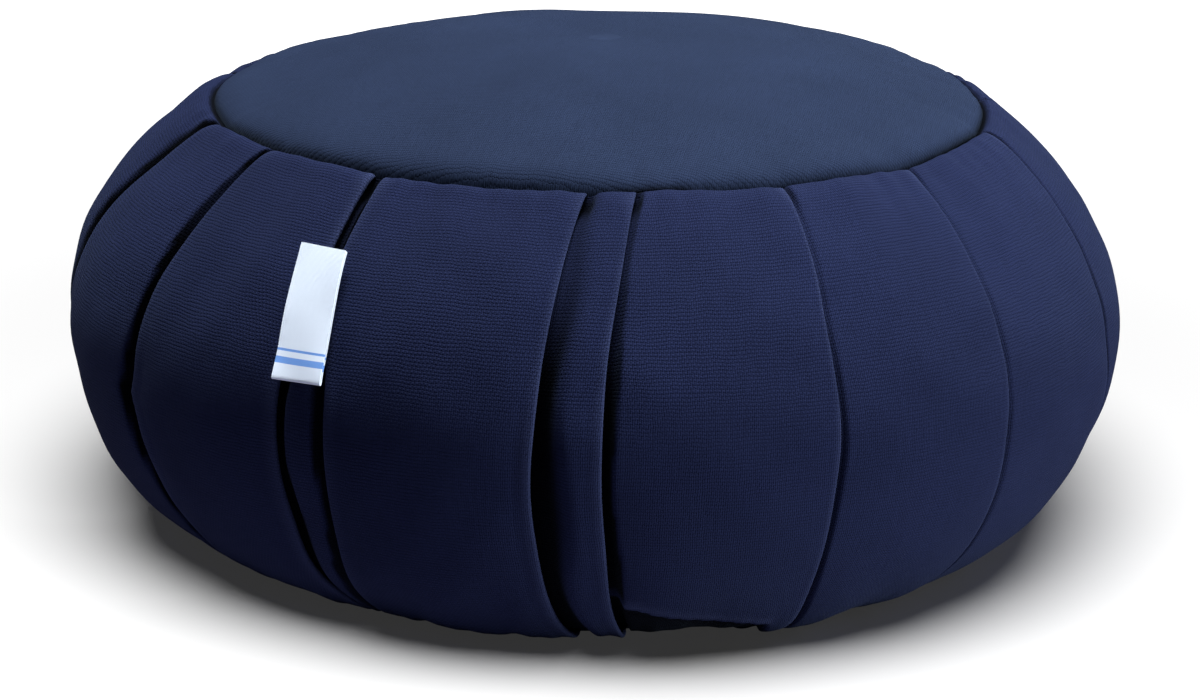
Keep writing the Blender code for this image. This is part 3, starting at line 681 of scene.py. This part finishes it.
def band_points(form):
    """The band's points, row by row, their fold marks and their places on the flat strip."""
    sizes = form.sizes
    along, azimuth, off, mark, middles, creases = band_grid(form)
    radius, height, out_radius, out_height = (value[:, None] for value in form.wall(along))
    from_bottom = along[:, None]
    from_top = form.length - from_bottom
    rough = form.placed(azimuth, radius, height)
    lumps = lumps_at(rough, *BIG_LUMPS, seed=21) + SMALL_SHARE * lumps_at(rough, *SMALL_LUMPS, seed=22)
    held = smooth(from_top / BAND_HELD) * smooth(from_bottom / BAND_HELD)
    off = off + seam_gathers(form, azimuth, from_top, GATHER_TO_TOP, seed=11)
    off = off + seam_gathers(form, azimuth, from_bottom, GATHER_TO_BOTTOM, seed=12)
    off = off + sizes.lumps * BAND_LUMPS * held * lumps
    turned, hem = hem_turn(azimuth, creases)
    under = smooth((turned - from_bottom) / HEM_TURN_EDGE)
    off = off - HEM_TUCK * under
    top_seam = seam_wave(azimuth, from_top) - seam_drop(form, azimuth, from_top)
    height = height + off * out_height + top_seam + seam_roll(form, from_bottom)
    points = form.placed(azimuth, radius + SEAM_PART * (1 - held) + off * out_radius, height)
    points[..., 2] = np.maximum(points[..., 2], FLOOR_GAP)
    # painted shade along both seams, where the cloth dives into the stitches
    mark = mark - np.exp(-((np.minimum(from_top, from_bottom) / SLIT_REACH) ** 2))
    # wear on the hem's roll above its turn, and painted shade where it turns under
    off_edge = (from_bottom - turned) / HEM_TURN_EDGE - HEM_WORN_AT
    mark = mark + hem * np.exp(-(off_edge**2)) - HEM_SHADE * under
    return points, mark, strip_places(points, along, middles, creases)


def strip_places(points, along, middles, creases):
    """Each point's place on the flat strip: the cloth of a panel is laid out from the panel's middle."""
    ring = np.concatenate([points, points[:, :1]], axis=1)
    step = np.linalg.norm(np.diff(ring, axis=1), axis=2)
    run = np.concatenate([np.zeros((len(along), 1)), np.cumsum(step, axis=1)], axis=1)
    columns = points.shape[1]
    place = np.zeros((len(along), columns + 1))
    widest = len(along) // 2
    borders = creases + [columns + creases[0]]
    for panel, middle in enumerate(middles):
        centre = run[widest, middle]
        for column in range(borders[panel], borders[panel + 1]):
            lap, at = divmod(column, columns)
            length = run[:, at] + lap * run[:, -1]
            place[:, at] = centre + length - run[:, middle]
    place[:, -1] = place[:, 0]
    up = np.broadcast_to(along[:, None], place.shape)
    return np.stack([place, up], axis=-1)


def grid_mesh(name, points, places, marks, caps):
    """A mesh of rings of points, closed all the way round, with cloth places as its UV map.

    caps gives the two single points that close the first and the last ring.
    """
    rows, columns = points.shape[:2]
    verts = [tuple(p) for p in points.reshape(-1, 3)]
    faces, uvs = [], []
    for row in range(rows - 1):
        for column in range(columns):
            following = (column + 1) % columns
            corners = ((row, column), (row, following), (row + 1, following), (row + 1, column))
            faces.append([r * columns + c for r, c in corners])
            near = places[row, column]
            for r, c in corners:
                place = places[r, c]
                uvs.append(place if abs(place[0] - near[0]) < CLOTH_JUMP else (near[0], place[1]))
    for cap, row in zip(caps, (0, rows - 1)):
        verts.append(tuple(cap))
        for column in range(columns):
            pair = [row * columns + column, row * columns + (column + 1) % columns]
            faces.append((pair[::-1] if row == 0 else pair) + [len(verts) - 1])
            uvs += [places[row, column]] * 3
    data = bpy.data.meshes.new(name)
    data.from_pydata(verts, [], faces)
    layer = data.uv_layers.new(name="cloth")
    layer.data.foreach_set("uv", np.array(uvs, np.float32).ravel())
    worn = data.attributes.new("worn", "FLOAT", "POINT")
    values = np.zeros(len(verts), np.float32)
    values[: rows * columns] = np.clip(marks, 0, 1).ravel()
    worn.data.foreach_set("value", values)
    # painted shade: dark in creases, plunges, seams and under the turned hem
    deep = data.attributes.new("deep", "FLOAT", "POINT")
    values[: rows * columns] = np.clip(-marks, 0, 1).ravel()
    deep.data.foreach_set("value", values)
    data.shade_smooth()
    return data


def add_piece(name, data, material):
    """An object at the origin with this mesh."""
    made = bpy.data.objects.new(name, data)
    bpy.context.scene.collection.objects.link(made)
    data.materials.append(material)
    return made


# ---------------------------------------------------------------- the round panels
def round_panel(name, form, material, top):
    """A round panel: its outer face, its turned edge and its inner face, a closed sheet."""
    sizes = form.sizes
    azimuth = np.linspace(0, TAU, ROUND_SIDES, endpoint=False)[None, :]
    t = np.linspace(0, 1, ROUND_RINGS + 1)[1:]
    share = (1 - (1 - t) ** RING_CROWDING)[:, None]
    edge = sizes.seam_radius - SEAM_PART
    radius = edge * share * np.ones_like(azimuth)
    off_seam = sizes.seam_radius - radius
    if top:
        near = np.exp(-off_seam / PANEL_GATHER_TO) * (1 - np.exp(-off_seam / GATHER_FROM))
        gathers = sizes.pucker * PANEL_GATHER_DEPTH * near * waves(azimuth, *GATHER_WAVES, seed=31)
        lumps = lumps_at(form.placed(azimuth, radius, 0.0), *PANEL_LUMPS, seed=32)
        soft = sizes.lumps * PANEL_LUMPS_SHARE * smooth(off_seam / PANEL_HELD) * lumps
        at_seam = seam_wave(azimuth, off_seam) - seam_drop(form, azimuth, off_seam)
        height = form.top_height(radius) + at_seam + gathers + soft
        inward = -1
    else:
        height = form.bottom_height(radius)
        inward = 1
    outer = form.placed(azimuth, radius, height)
    inner = form.placed(azimuth, radius, height + inward * sizes.cloth)
    middle_height = form.top_height(0.0) if top else 0.0
    caps = [form.placed(0.0, 0.0, middle_height), form.placed(0.0, 0.0, middle_height + inward * sizes.cloth)]
    points = np.concatenate([outer, inner[::-1]])
    places = points[..., :2]
    places = np.concatenate([places, places[:, :1]], axis=1)
    # painted shade along the seam, where the cloth dives into the stitches
    seam_painted_shade = -np.exp(-((off_seam / SLIT_REACH) ** 2)) * np.ones_like(azimuth)
    data = grid_mesh(name, points, places, np.concatenate([seam_painted_shade, seam_painted_shade[::-1]]), caps)
    close_outwards(data)
    return add_piece(name, data, material)


def close_outwards(data):
    """Turns a closed mesh's faces outwards."""
    mesh = bmesh.new()
    mesh.from_mesh(data)
    bmesh.ops.recalc_face_normals(mesh, faces=mesh.faces)
    mesh.to_mesh(data)
    mesh.free()


# ---------------------------------------------------------------- the label
def label_place(form, across, along, off):
    """A point of the label: across from -1 to 1, along from 0 at its fold to 1 at its top.

    The tape is stiff, so it bends only part of the way to the wall behind it.
    """
    sizes = form.sizes
    upper = form.height >= sizes.widest_height

    def on_wall(share):
        height = LABEL_BOTTOM + (LABEL_TOP - LABEL_BOTTOM) * share
        at = np.interp(height, form.height[upper], form.along[upper])
        return [float(value) for value in form.wall(at)]

    slant = LABEL_BOTTOM_SLANT + (LABEL_TOP_SLANT - LABEL_BOTTOM_SLANT) * along
    radius, height, out_radius, out_height = on_wall(along - across * slant / (LABEL_TOP - LABEL_BOTTOM))
    middle = LABEL_BOTTOM_AT + (LABEL_TOP_AT - LABEL_BOTTOM_AT) * along
    stiff = LABEL_STIFF * (2 * along - 1) ** 2
    half = sizes.label_width / 2 / (radius * form.outline(middle))
    reach = off + stiff
    return form.placed(middle + across * half, radius + reach * out_radius, height + reach * out_height)


def tape_route(sizes):
    """Down the front of the folded tape, round its fold and up behind.

    Each step is a share of the label's height, how far the tape's middle stands out from that of the
    folded label, and how far the tape has turned.
    """
    rows = LABEL_STEPS[1]
    turn = sizes.label_thickness * (1 - TAPE_SHARE) / 2
    route = [(t, turn, 0.0) for t in np.linspace(1, FOLD_AT, rows)]
    for step in range(1, FOLD_STEPS):
        angle = math.pi * step / FOLD_STEPS
        down = turn / (LABEL_TOP - LABEL_BOTTOM) * math.sin(angle)
        route.append((FOLD_AT - down, turn * math.cos(angle), angle))
    return route + [(t, -turn, math.pi) for t in np.linspace(FOLD_AT, 1, rows)]


def tape_face(form, mesh, route, across, side):
    """A grid of points for one face of the tape, the outer one if side is 1 and the inner one if it is -1."""
    middle = LABEL_STAND_OFF + form.sizes.label_thickness / 2
    outwards = side * form.sizes.label_thickness * TAPE_SHARE / 2
    grid = []
    for t, off, angle in route:
        front = 1 if angle < math.pi / 2 else 0
        lean = RIPPLE * math.sin(RIPPLE_TURN * t + RIPPLE_START) + TWIST * math.sin(TWIST_TURN * t)
        lift = CORNER_LIFT * smooth((CORNER_LENGTH - t) / CORNER_LENGTH)
        down = -outwards * math.sin(angle) / (LABEL_TOP - LABEL_BOTTOM)
        line = []
        for share in across:
            curl = lift * share**2 + lean * share
            belly = BELLY * front * math.sin(math.pi * t) * (1 - share**2)
            reach = middle + off + outwards * math.cos(angle) + curl + belly
            line.append(mesh.verts.new(label_place(form, share, t + down, reach)))
        grid.append(line)
    return grid


def label_mesh(form):
    """The tape as one thin sheet folded double, with its places on the flat tape as its UV map."""
    columns, rows = LABEL_STEPS
    across = np.linspace(-1, 1, columns + 1)
    route = tape_route(form.sizes)
    mesh = bmesh.new()
    layer = mesh.loops.layers.uv.new("cloth")
    outer, inner = (tape_face(form, mesh, route, across, side) for side in (1, -1))
    run = np.concatenate([[0.0], np.cumsum([abs(b[0] - a[0]) for a, b in zip(route, route[1:])])])
    run = run / run[rows - 1] * LABEL_LENGTH

    def add(corners, spots):
        face = mesh.faces.new(corners)
        face.smooth = True
        for loop, (row, column) in zip(face.loops, spots):
            loop[layer].uv = (across[column] * form.sizes.label_width / 2, abs(LABEL_LENGTH - run[row]))

    last = len(route) - 1
    for grid, way in ((outer, 1), (inner, -1)):
        for r in range(last):
            for c in range(columns):
                spots = [(r, c), (r + 1, c), (r + 1, c + 1), (r, c + 1)][::way]
                add([grid[m][k] for m, k in spots], spots)
    rim = [(0, c) for c in range(columns)] + [(r, columns) for r in range(last)]
    rim += [(last, c) for c in range(columns, 0, -1)] + [(r, 0) for r in range(last, 0, -1)]
    for first, second in zip(rim, rim[1:] + rim[:1]):
        spots = [first, second, second, first]
        corners = [grid[r][c] for grid, (r, c) in zip((outer, outer, inner, inner), spots)]
        add(corners, spots)
    bmesh.ops.recalc_face_normals(mesh, faces=mesh.faces)
    data = bpy.data.meshes.new("cushion_label")
    mesh.to_mesh(data)
    mesh.free()
    data.set_sharp_from_angle(angle=SHARP_EDGE)
    return data


# ---------------------------------------------------------------- finishes
def add_node(tree, kind, at, inputs=None, **settings):
    """A node at its place in the tree, with its settings and the values of its inputs."""
    made = tree.nodes.new(kind)
    made.location = at
    for key, value in settings.items():
        setattr(made, key, value)
    fill_inputs(made, inputs or {})
    return made


def fill_inputs(node, values):
    """Gives a node's inputs, by name or number, these values."""
    for name, value in values.items():
        node.inputs[name].default_value = value


def add_weave(tree, at, cloth, pitches, ribs, slubs):
    """The weave on the cloth's places, with the distances between its threads up and across."""
    values = {"Warp pitch": pitches[0], "Weft pitch": pitches[1], "Ribs": ribs, "Slubs": slubs}
    made = add_node(tree, "ShaderNodeGroup", at, values, node_tree=weave_group())
    tree.links.new(cloth, made.inputs["Cloth"])
    return made


def add_relief(tree, shader, height, distance):
    """A Bump node that gives the shader the threads' relief."""
    made = add_node(tree, "ShaderNodeBump", (-100, -300), {"Strength": 1, "Distance": distance})
    tree.links.new(height, made.inputs["Height"])
    tree.links.new(made.outputs[0], shader.inputs["Normal"])


def new_material(name, values):
    """A material with these values in its shader, its node tree and the shader."""
    material = bpy.data.materials.new(name)
    material.use_nodes = True
    shader = material.node_tree.nodes["Principled BSDF"]
    fill_inputs(shader, values)
    return material, material.node_tree, shader


def maths(tree, operation, first, second=None, clamp=False):
    """A Math node on sockets or plain numbers, and its output."""
    made = tree.nodes.new("ShaderNodeMath")
    made.operation = operation
    made.use_clamp = clamp
    for socket, value in zip(made.inputs, (first, second)):
        if value is None:
            continue
        if isinstance(value, (int, float)):
            socket.default_value = value
        else:
            tree.links.new(value, socket)
    return made.outputs[0]


def weave_group():
    """Plain weave: the height of the threads, and how light or dark they look, on cloth laid flat."""
    group = bpy.data.node_groups.get("plain_weave")
    if group:
        return group
    group = bpy.data.node_groups.new("plain_weave", "ShaderNodeTree")
    sockets = group.interface
    sockets.new_socket("Cloth", in_out="INPUT", socket_type="NodeSocketVector")
    for name, value in (("Warp pitch", 0.0006), ("Weft pitch", 0.001), ("Ribs", 1.0), ("Slubs", 1.0)):
        sockets.new_socket(name, in_out="INPUT", socket_type="NodeSocketFloat").default_value = value
    for name in ("Height", "Shade", "Tone"):
        sockets.new_socket(name, in_out="OUTPUT", socket_type="NodeSocketFloat")
    given = add_node(group, "NodeGroupInput", (-1600, 0))
    result = add_node(group, "NodeGroupOutput", (1200, 0))
    link = group.links.new
    drift = add_node(group, "ShaderNodeTexNoise", (-1400, -300), {"Scale": 160, "Detail": 2})
    link(given.outputs["Cloth"], drift.inputs["Vector"])
    parts = add_node(group, "ShaderNodeSeparateXYZ", (-1400, 0))
    link(given.outputs["Cloth"], parts.inputs[0])
    wander = maths(group, "MULTIPLY", maths(group, "SUBTRACT", drift.outputs["Fac"], 0.5), THREAD_DRIFT)
    threads, heights = [], []
    for place, pitch in ((parts.outputs[0], "Warp pitch"), (parts.outputs[1], "Weft pitch")):
        count = maths(group, "ADD", maths(group, "DIVIDE", place, given.outputs[pitch]), wander)
        threads.append(maths(group, "SINE", maths(group, "MULTIPLY", count, math.pi)))
        heights.append(maths(group, "POWER", maths(group, "ABSOLUTE", threads[-1]), THREAD_ROUND))
    warp_height, weft_height = heights
    crossing = maths(group, "MULTIPLY", maths(group, "MULTIPLY", *threads), THREAD_CROSSING)
    over = maths(group, "ADD", crossing, 0.5, clamp=True)
    ribs = maths(group, "MULTIPLY", weft_height, given.outputs["Ribs"])
    mixed = maths(
        group, "ADD",
        maths(group, "MULTIPLY", warp_height, over),
        maths(group, "MULTIPLY", ribs, maths(group, "SUBTRACT", 1.0, over)),
    )
    slub_tones = []
    for squeeze, scale in SLUBS:
        squeezed = add_node(group, "ShaderNodeVectorMath", (-1000, -600), {1: squeeze}, operation="MULTIPLY")
        link(given.outputs["Cloth"], squeezed.inputs[0])
        rough = {"Scale": scale, "Detail": 3, "Roughness": 0.6}
        slub = add_node(group, "ShaderNodeTexNoise", (-800, -600), rough)
        link(squeezed.outputs[0], slub.inputs["Vector"])
        slub_tones.append(maths(group, "SUBTRACT", slub.outputs["Fac"], 0.5))
    slubs = maths(group, "MULTIPLY", maths(group, "ADD", *slub_tones), given.outputs["Slubs"])
    height = maths(group, "ADD", mixed, maths(group, "MULTIPLY", slubs, SLUB_HEIGHT))
    shade = maths(group, "ADD", maths(group, "MULTIPLY", mixed, THREAD_SHADE), slubs)
    cloud = add_node(group, "ShaderNodeTexNoise", (-800, -900), {"Scale": 22, "Detail": 4})
    link(given.outputs["Cloth"], cloud.inputs["Vector"])
    link(height, result.inputs["Height"])
    link(shade, result.inputs["Shade"])
    link(cloud.outputs["Fac"], result.inputs["Tone"])
    return group


def cotton(name, finish, navy, ribs, bump, turned):
    """Navy cotton: the weave follows the flat cloth, and folded edges are a little worn."""
    material, tree, shader = new_material(name, {
        "Roughness": 0.93, "Metallic": 0, "Specular IOR Level": 0.02,
        "Sheen Weight": 0.02, "Sheen Roughness": 0.45, "Sheen Tint": (0.50, 0.72, 1.0, 1),
    })
    link = tree.links.new
    places = add_node(tree, "ShaderNodeUVMap", (-1400, 0), uv_map="cloth")
    turn = add_node(tree, "ShaderNodeMapping", (-1200, 0), {"Rotation": (0, 0, turned)})
    link(places.outputs[0], turn.inputs["Vector"])
    pitches = (finish.warp_pitch, finish.weft_pitch)
    weave = add_weave(tree, (-900, 0), turn.outputs[0], pitches, ribs, slubs=0.55)
    worn = add_node(tree, "ShaderNodeAttribute", (-900, 300), attribute_name="worn")
    # the deep marks carry the painted shade
    deep = add_node(tree, "ShaderNodeAttribute", (-900, 500), attribute_name="deep")
    between, on_top = ((*[share * c for c in navy], 1) for share in (BETWEEN_THREADS, ON_THREADS))
    thread_colour = add_node(tree, "ShaderNodeMix", (-500, 0), {"A": between, "B": on_top}, data_type="RGBA")
    link(weave.outputs["Shade"], thread_colour.inputs["Factor"])
    faded = add_node(tree, "ShaderNodeMix", (-300, 0), {"B": (*finish.worn, 1)}, data_type="RGBA")
    patchy = maths(tree, "ADD", weave.outputs["Tone"], WEAR_START, clamp=True)
    wear = maths(tree, "MULTIPLY", worn.outputs["Fac"], patchy)
    link(maths(tree, "MULTIPLY", wear, WEAR_SHARE), faded.inputs["Factor"])
    link(thread_colour.outputs["Result"], faded.inputs["A"])
    tone = maths(tree, "ADD", maths(tree, "MULTIPLY", weave.outputs["Tone"], TONE_SHARE), TONE_LEAST)
    # painted shade: the base colour is darkened where the deep marks are
    unshaded = maths(tree, "SUBTRACT", 1.0, maths(tree, "MULTIPLY", deep.outputs["Fac"], DEEP_SHADE))
    shadowed = maths(tree, "MULTIPLY", tone, unshaded)
    grey = add_node(tree, "ShaderNodeCombineColor", (-300, -300))
    for socket in grey.inputs:
        link(shadowed, socket)
    toned = add_node(tree, "ShaderNodeMix", (-100, 0), {"Factor": 1}, data_type="RGBA", blend_type="MULTIPLY")
    link(faded.outputs["Result"], toned.inputs["A"])
    link(grey.outputs[0], toned.inputs["B"])
    link(toned.outputs["Result"], shader.inputs["Base Color"])
    add_relief(tree, shader, weave.outputs["Height"], bump)
    return material


def label_tape(finish):
    """White woven tape with two plain blue bands across it near its fold."""
    values = {"Roughness": 0.62, "Metallic": 0, "Sheen Weight": 0.1}
    material, tree, shader = new_material("label_tape", values)
    link = tree.links.new
    places = add_node(tree, "ShaderNodeUVMap", (-1400, 0), uv_map="cloth")
    weave = add_weave(tree, (-1000, 0), places.outputs[0], TAPE_PITCHES, ribs=1.2, slubs=0.15)
    parts = add_node(tree, "ShaderNodeSeparateXYZ", (-1200, -300))
    link(places.outputs[0], parts.inputs[0])
    bands = None
    for middle, half in LABEL_BANDS:
        off = maths(tree, "ABSOLUTE", maths(tree, "SUBTRACT", parts.outputs[1], middle))
        inside = maths(tree, "LESS_THAN", off, half)
        bands = inside if bands is None else maths(tree, "ADD", bands, inside, clamp=True)
    between = (*[TAPE_BETWEEN * c for c in finish.label_white], 1)
    colours = {"A": between, "B": (*finish.label_white, 1)}
    base = add_node(tree, "ShaderNodeMix", (-500, 0), colours, data_type="RGBA")
    link(weave.outputs["Shade"], base.inputs["Factor"])
    banded = add_node(tree, "ShaderNodeMix", (-300, 0), {"B": (*finish.label_blue, 1)}, data_type="RGBA")
    link(maths(tree, "MULTIPLY", bands, BLUE_SHARE), banded.inputs["Factor"])
    link(base.outputs["Result"], banded.inputs["A"])
    link(banded.outputs["Result"], shader.inputs["Base Color"])
    add_relief(tree, shader, weave.outputs["Height"], TAPE_RELIEF)
    return material


# ---------------------------------------------------------------- operators
class ZAFU_OT_body(bpy.types.Operator):
    """Build the pleated side band round its filling"""

    bl_idname = "zafu.body"
    bl_label = "Pleated Side"

    def execute(self, context):
        form = Form(context.scene.zafu_sizes)
        points, marks, places = band_points(form)
        caps = [form.placed(0.0, 0.0, height) for height in (LOW_CAP, form.sizes.seam_height - HIGH_CAP)]
        data = grid_mesh("cushion_body", points, places, marks, caps)
        close_outwards(data)
        finish = context.scene.zafu_finish
        material = cotton("band_cotton", finish, finish.navy, ribs=1.25, bump=0.00022, turned=0)
        made = add_piece("cushion_body", data, material)
        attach(made, "root")
        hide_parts("body")
        return {"FINISHED"}


class ZAFU_OT_round_panels(bpy.types.Operator):
    """Build the round top and bottom panels"""

    bl_idname = "zafu.round_panels"
    bl_label = "Round Panels"

    def execute(self, context):
        form = Form(context.scene.zafu_sizes)
        finish = context.scene.zafu_finish
        turned = math.radians(12)
        material = cotton("panel_cotton", finish, finish.panel_navy_and_painted_light, ribs=1.0, bump=0.0002, turned=turned)
        for name, node in (("cushion_top", "top_panel"), ("cushion_bottom", "bottom_panel")):
            made = round_panel(name, form, material, top=node == "top_panel")
            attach(made, "root")
            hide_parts(node)
        return {"FINISHED"}


class ZAFU_OT_label(bpy.types.Operator):
    """Build the small woven label, folded double over one pleat"""

    bl_idname = "zafu.label"
    bl_label = "Label"

    def execute(self, context):
        form = Form(context.scene.zafu_sizes)
        made = add_piece("cushion_label", label_mesh(form), label_tape(context.scene.zafu_finish))
        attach(made, "root")
        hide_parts("label")
        return {"FINISHED"}


def add_lamp(lamp, size, lit):
    """A soft disc lamp aimed at the cushion, which lights only the given objects."""
    data = bpy.data.lights.new(lamp.name, "AREA")
    data.shape = "DISK"
    data.size = size
    data.energy = lamp.watts
    made = bpy.data.objects.new(lamp.name, data)
    bpy.context.scene.collection.objects.link(made)
    turn, rise = math.radians(lamp.azimuth), math.radians(lamp.elevation)
    aim = Vector((0, 0, LAMP_AIM))
    away = Vector((math.sin(turn) * math.cos(rise), -math.cos(turn) * math.cos(rise), math.sin(rise)))
    made.location = aim + away * LAMP_DISTANCE
    made.rotation_euler = away.to_track_quat("Z", "Y").to_euler()
    only = bpy.data.collections.new("lit_by_" + lamp.name)
    for item in lit:
        only.objects.link(item)
    made.light_linking.receiver_collection = only


def floor_material():
    """Pale and matt. It gives the cushion less light back than it shows."""
    material = bpy.data.materials.new("studio_floor")
    material.use_nodes = True
    tree = material.node_tree
    tree.nodes.clear()
    link = tree.links.new
    seen = add_node(tree, "ShaderNodeLightPath", (-400, 300))
    matt = add_node(tree, "ShaderNodeBsdfDiffuse", (-400, 0), {"Color": FLOOR_COLOUR})
    # painted light: a glow that only the camera sees, weak close to the cushion and full away from it
    glow = add_node(tree, "ShaderNodeEmission", (-400, 150))
    places = add_node(tree, "ShaderNodeTexCoord", (-1000, 150))
    away = add_node(tree, "ShaderNodeVectorMath", (-800, 150), operation="LENGTH")
    spans = {"From Min": GLOW_FROM, "From Max": GLOW_TO, "To Min": FLOOR_GLOW, "To Max": GLOW_FAR}
    grown = add_node(tree, "ShaderNodeMapRange", (-600, 150), spans, interpolation_type="SMOOTHSTEP")
    link(places.outputs["Object"], away.inputs[0])
    link(away.outputs["Value"], grown.inputs["Value"])
    link(grown.outputs["Result"], glow.inputs["Strength"])
    pale = add_node(tree, "ShaderNodeAddShader", (-200, 50))
    link(matt.outputs[0], pale.inputs[0])
    link(glow.outputs[0], pale.inputs[1])
    dim = add_node(tree, "ShaderNodeBsdfDiffuse", (-400, -200), {"Color": FLOOR_BOUNCE})
    mixed = add_node(tree, "ShaderNodeMixShader", (-100, 0))
    result = add_node(tree, "ShaderNodeOutputMaterial", (100, 0))
    link(seen.outputs["Is Camera Ray"], mixed.inputs[0])
    link(dim.outputs[0], mixed.inputs[1])
    link(pale.outputs[0], mixed.inputs[2])
    link(mixed.outputs[0], result.inputs["Surface"])
    return material


def studio_world():
    """White where the camera sees past the floor, and dark to everything else."""
    world = bpy.data.worlds.new("studio")
    world.use_nodes = True
    tree = world.node_tree
    sky = tree.nodes["Background"]
    sky.inputs["Color"].default_value = (1, 1, 1, 1)
    seen = add_node(tree, "ShaderNodeLightPath", (-400, 0))
    tree.links.new(seen.outputs["Is Camera Ray"], sky.inputs["Strength"])
    return world


def front_camera(form):
    """A camera where the photo was taken from, a little tilted and rolled."""
    data = bpy.data.cameras.new("front")
    data.lens = CAMERA_LENS
    data.sensor_width = FILM_WIDTH
    camera = bpy.data.objects.new("front", data)
    bpy.context.scene.collection.objects.link(camera)
    place = Vector(CAMERA_PLACE) - Vector((*form.middle, 0))
    aimed = Matrix.Rotation(math.pi / 2 - CAMERA_TILT, 4, "X") @ Matrix.Rotation(CAMERA_ROLL, 4, "Z")
    camera.matrix_world = Matrix.Translation(place) @ aimed
    return camera


class ZAFU_OT_stage(bpy.types.Operator):
    """Set up the pale floor, the soft studio light and the camera"""

    bl_idname = "zafu.stage"
    bl_label = "Stage"

    def execute(self, context):
        scene = context.scene
        pieces = [item for item in scene.objects if item.type == "MESH"]
        bpy.ops.object.select_all(action="DESELECT")
        bpy.ops.mesh.primitive_plane_add(size=FLOOR_SIZE)
        floor = context.object
        floor.name = "studio_floor"
        floor.data.materials.append(floor_material())
        scene.world = studio_world()
        for lamp in LAMPS:
            add_lamp(lamp, LAMP_SIZE, pieces)
        add_lamp(FLOOR_LAMP, FLOOR_LAMP_SIZE, [floor])
        scene.view_settings.view_transform = "Standard"
        scene.camera = front_camera(Form(scene.zafu_sizes))
        return {"FINISHED"}


class ZAFU_PT_cushion(bpy.types.Panel):
    """The pieces of the cushion, and their sizes and colours"""

    bl_idname = "ZAFU_PT_cushion"
    bl_label = "Zafu Cushion"
    bl_space_type = "VIEW_3D"
    bl_region_type = "UI"
    bl_category = "Zafu"

    def draw(self, context):
        layout = self.layout
        for group in (context.scene.zafu_sizes, context.scene.zafu_finish):
            box = layout.box()
            for name in group.__annotations__:
                box.prop(group, name)
        for operator in OPERATORS:
            layout.operator(operator.bl_idname)


OPERATORS = (ZAFU_OT_body, ZAFU_OT_round_panels, ZAFU_OT_label, ZAFU_OT_stage)
CLASSES = (ZafuSizes, ZafuFinish, *OPERATORS, ZAFU_PT_cushion)


def register():
    for item in CLASSES:
        bpy.utils.register_class(item)
    bpy.types.Scene.zafu_sizes = PointerProperty(type=ZafuSizes)
    bpy.types.Scene.zafu_finish = PointerProperty(type=ZafuFinish)


def unregister():
    del bpy.types.Scene.zafu_finish
    del bpy.types.Scene.zafu_sizes
    for item in reversed(CLASSES):
        bpy.utils.unregister_class(item)


def main():
    register()
    bpy.ops.zafu.body()
    bpy.ops.zafu.round_panels()
    bpy.ops.zafu.label()
    bpy.ops.zafu.stage()


if __name__ == "__main__":
    main()
